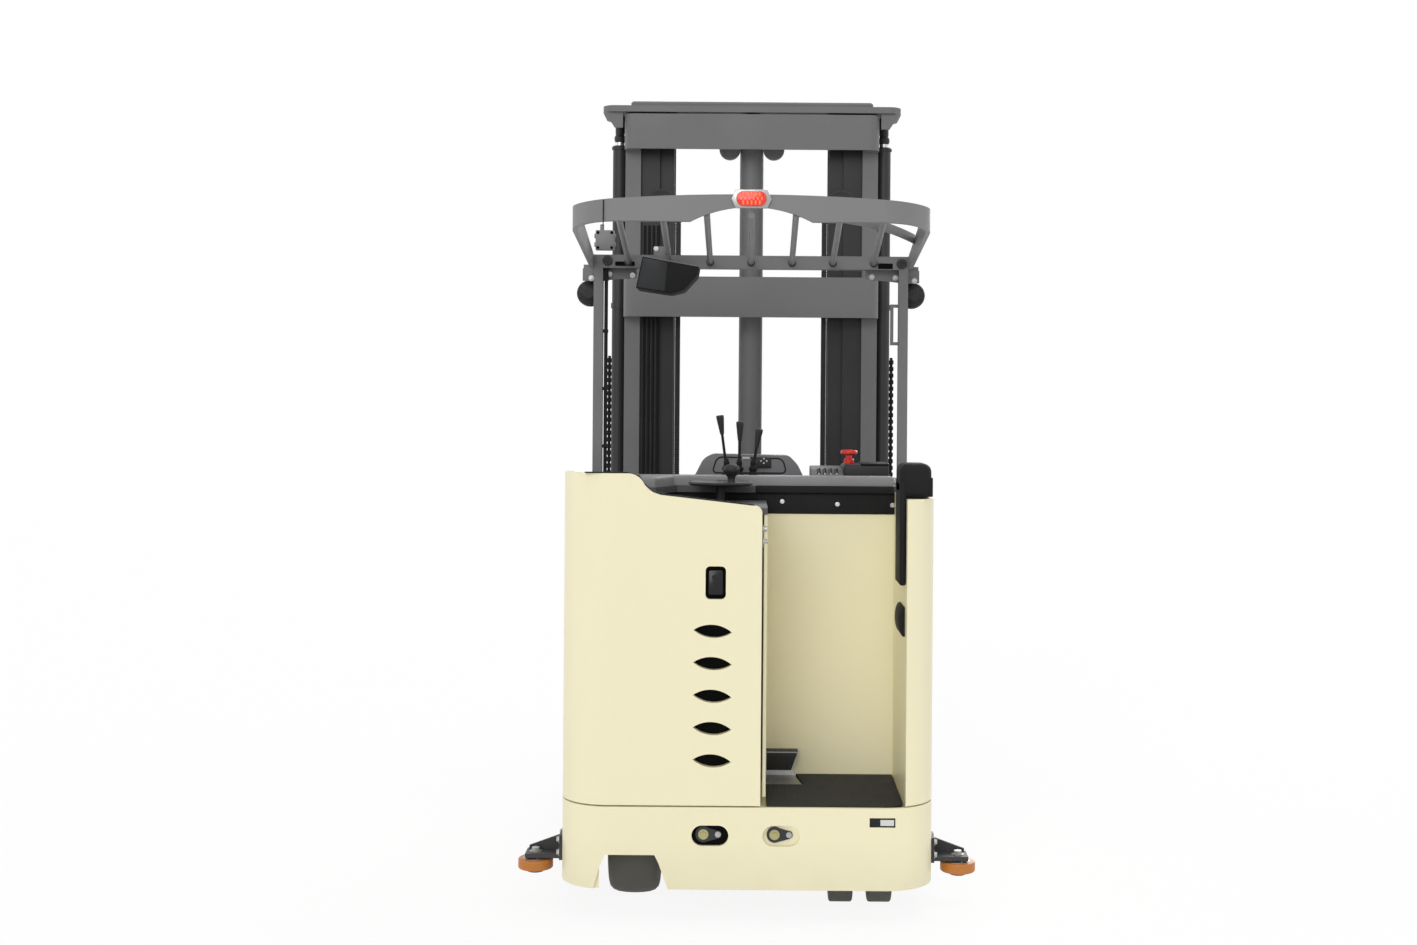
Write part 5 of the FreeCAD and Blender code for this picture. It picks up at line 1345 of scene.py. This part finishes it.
# Soft suns: name, where each stands, and its strength
SUNS = (("key", (-1.0, -4.0, 1.7), 1.2), ("front", (1.4, 4.0, 2.2), 1.2), ("top", (0.6, -0.4, 4.0), 0.65),
        ("left", (-4.0, 0.6, 1.4), 0.4), ("right", (4.0, 0.2, 1.6), 0.4))


class STACKER_OT_stage(bpy.types.Operator):
    """Sets the pale floor, the soft light and the camera"""
    bl_idname = "stacker.stage"
    bl_label = "Stage, light and camera"

    def execute(self, context):
        self.floor()
        self.light()
        self.camera(context)
        context.scene.view_settings.view_transform = "Standard"
        return {"FINISHED"}

    def by_sight(self, tree, share, lit, even):
        """Mixes a share of an even white into what the camera, gloss and glass see."""
        path = tree.nodes.new("ShaderNodeLightPath")
        seen = path.outputs["Is Camera Ray"]
        for ray in ("Is Glossy Ray", "Is Transmission Ray"):
            seen = maths(tree, "MAXIMUM", seen, path.outputs[ray])
        mix = tree.nodes.new("ShaderNodeMixShader")
        tree.links.new(maths(tree, "MULTIPLY", seen, share), mix.inputs["Fac"])
        tree.links.new(lit, mix.inputs[1])
        tree.links.new(even, mix.inputs[2])
        return mix.outputs[0]

    def floor_material(self):
        """Diffuse floor that shows mostly as an even white and keeps a soft shadow."""
        material = bpy.data.materials.new("floor_pale")
        material.use_nodes = True
        tree = material.node_tree
        shader = tree.nodes["Principled BSDF"]
        shader.inputs["Base Color"].default_value = (FLOOR_SHADE, FLOOR_SHADE, FLOOR_SHADE, 1)
        shader.inputs["Roughness"].default_value = 0.9
        white = tree.nodes.new("ShaderNodeEmission")
        white.inputs["Strength"].default_value = 1.0
        mixed = self.by_sight(tree, FLOOR_EVEN_SHARE, shader.outputs[0], white.outputs[0])
        tree.links.new(mixed, tree.nodes["Material Output"].inputs["Surface"])
        return material

    def floor(self):
        bm = bmesh.new()
        bmesh.ops.create_grid(bm, x_segments=1, y_segments=1, size=FLOOR_HALF)
        mesh = bpy.data.meshes.new("floor")
        bm.to_mesh(mesh)
        bm.free()
        floor = bpy.data.objects.new("floor", mesh)
        bpy.context.collection.objects.link(floor)
        mesh.materials.append(self.floor_material())

    def background(self, tree, strength):
        node = tree.nodes.new("ShaderNodeBackground")
        node.inputs["Color"].default_value = (1, 1, 1, 1)
        node.inputs["Strength"].default_value = strength
        return node.outputs[0]

    def light(self):
        world = bpy.data.worlds.new("soft_room")
        bpy.context.scene.world = world
        world.use_nodes = True
        tree = world.node_tree
        tree.nodes.clear()
        room, white = self.background(tree, ROOM_LIGHT), self.background(tree, 1.0)
        out = tree.nodes.new("ShaderNodeOutputWorld")
        tree.links.new(self.by_sight(tree, 1.0, room, white), out.inputs["Surface"])
        for name, place, strength in SUNS:
            sun = bpy.data.lights.new(name, "SUN")
            sun.energy, sun.angle, sun.specular_factor = strength, SUN_SPREAD, SUN_GLOSS
            lamp = bpy.data.objects.new(name, sun)
            bpy.context.collection.objects.link(lamp)
            lamp.location = place
            lamp.rotation_euler = (-Vector(place)).to_track_quat("-Z", "Y").to_euler()

    def camera(self, context):
        given = context.scene.stacker_camera
        data = bpy.data.cameras.new("camera")
        data.sensor_width = SENSOR_MM
        data.lens = SENSOR_MM * FOCAL_PIXELS / FRAME_WIDTH
        data.shift_x = (FRAME_WIDTH / 2 - AXIS_X) / FRAME_WIDTH
        data.shift_y = (AXIS_Y - FRAME_HEIGHT / 2) / FRAME_WIDTH
        camera = bpy.data.objects.new("camera", data)
        context.collection.objects.link(camera)
        level = Euler((math.radians(90), 0, 0)).to_matrix().to_4x4()
        camera.matrix_world = (Matrix.Translation((0, REAR - given.distance, given.height)) @ level
                               @ Matrix.Rotation(given.roll, 4, "Z"))
        context.scene.camera = camera


OPERATORS = (STACKER_OT_finishes, STACKER_OT_door, STACKER_OT_skirt, STACKER_OT_bay, STACKER_OT_pads,
             STACKER_OT_controls, STACKER_OT_guard, STACKER_OT_lamps, STACKER_OT_monitor, STACKER_OT_rollers,
             STACKER_OT_chains, STACKER_OT_mast, STACKER_OT_wheels, STACKER_OT_head, STACKER_OT_sides,
             STACKER_OT_stage)
GROUPS = (StackerColours, StackerCamera, StackerDetail)


class STACKER_PT_panel(bpy.types.Panel):
    """Lists the settings and the pieces"""
    bl_label = "Stacker"
    bl_idname = "STACKER_PT_panel"
    bl_space_type = "VIEW_3D"
    bl_region_type = "UI"
    bl_category = "Stacker"

    def draw(self, context):
        scene = context.scene
        for group in (scene.stacker_colours, scene.stacker_camera, scene.stacker_detail):
            for name in group.bl_rna.properties.keys():
                if name not in ("rna_type", "name"):
                    self.layout.prop(group, name)
        for operator in OPERATORS:
            self.layout.operator(operator.bl_idname)


def register():
    for item in GROUPS + OPERATORS + (STACKER_PT_panel,):
        bpy.utils.register_class(item)
    bpy.types.Scene.stacker_colours = PointerProperty(type=StackerColours)
    bpy.types.Scene.stacker_camera = PointerProperty(type=StackerCamera)
    bpy.types.Scene.stacker_detail = PointerProperty(type=StackerDetail)


def unregister():
    del bpy.types.Scene.stacker_detail
    del bpy.types.Scene.stacker_camera
    del bpy.types.Scene.stacker_colours
    for item in reversed(GROUPS + OPERATORS + (STACKER_PT_panel,)):
        bpy.utils.unregister_class(item)


def main():
    register()
    for operator in OPERATORS:
        family, name = operator.bl_idname.split(".")
        getattr(getattr(bpy.ops, family), name)()


if __name__ == "__main__":
    main()
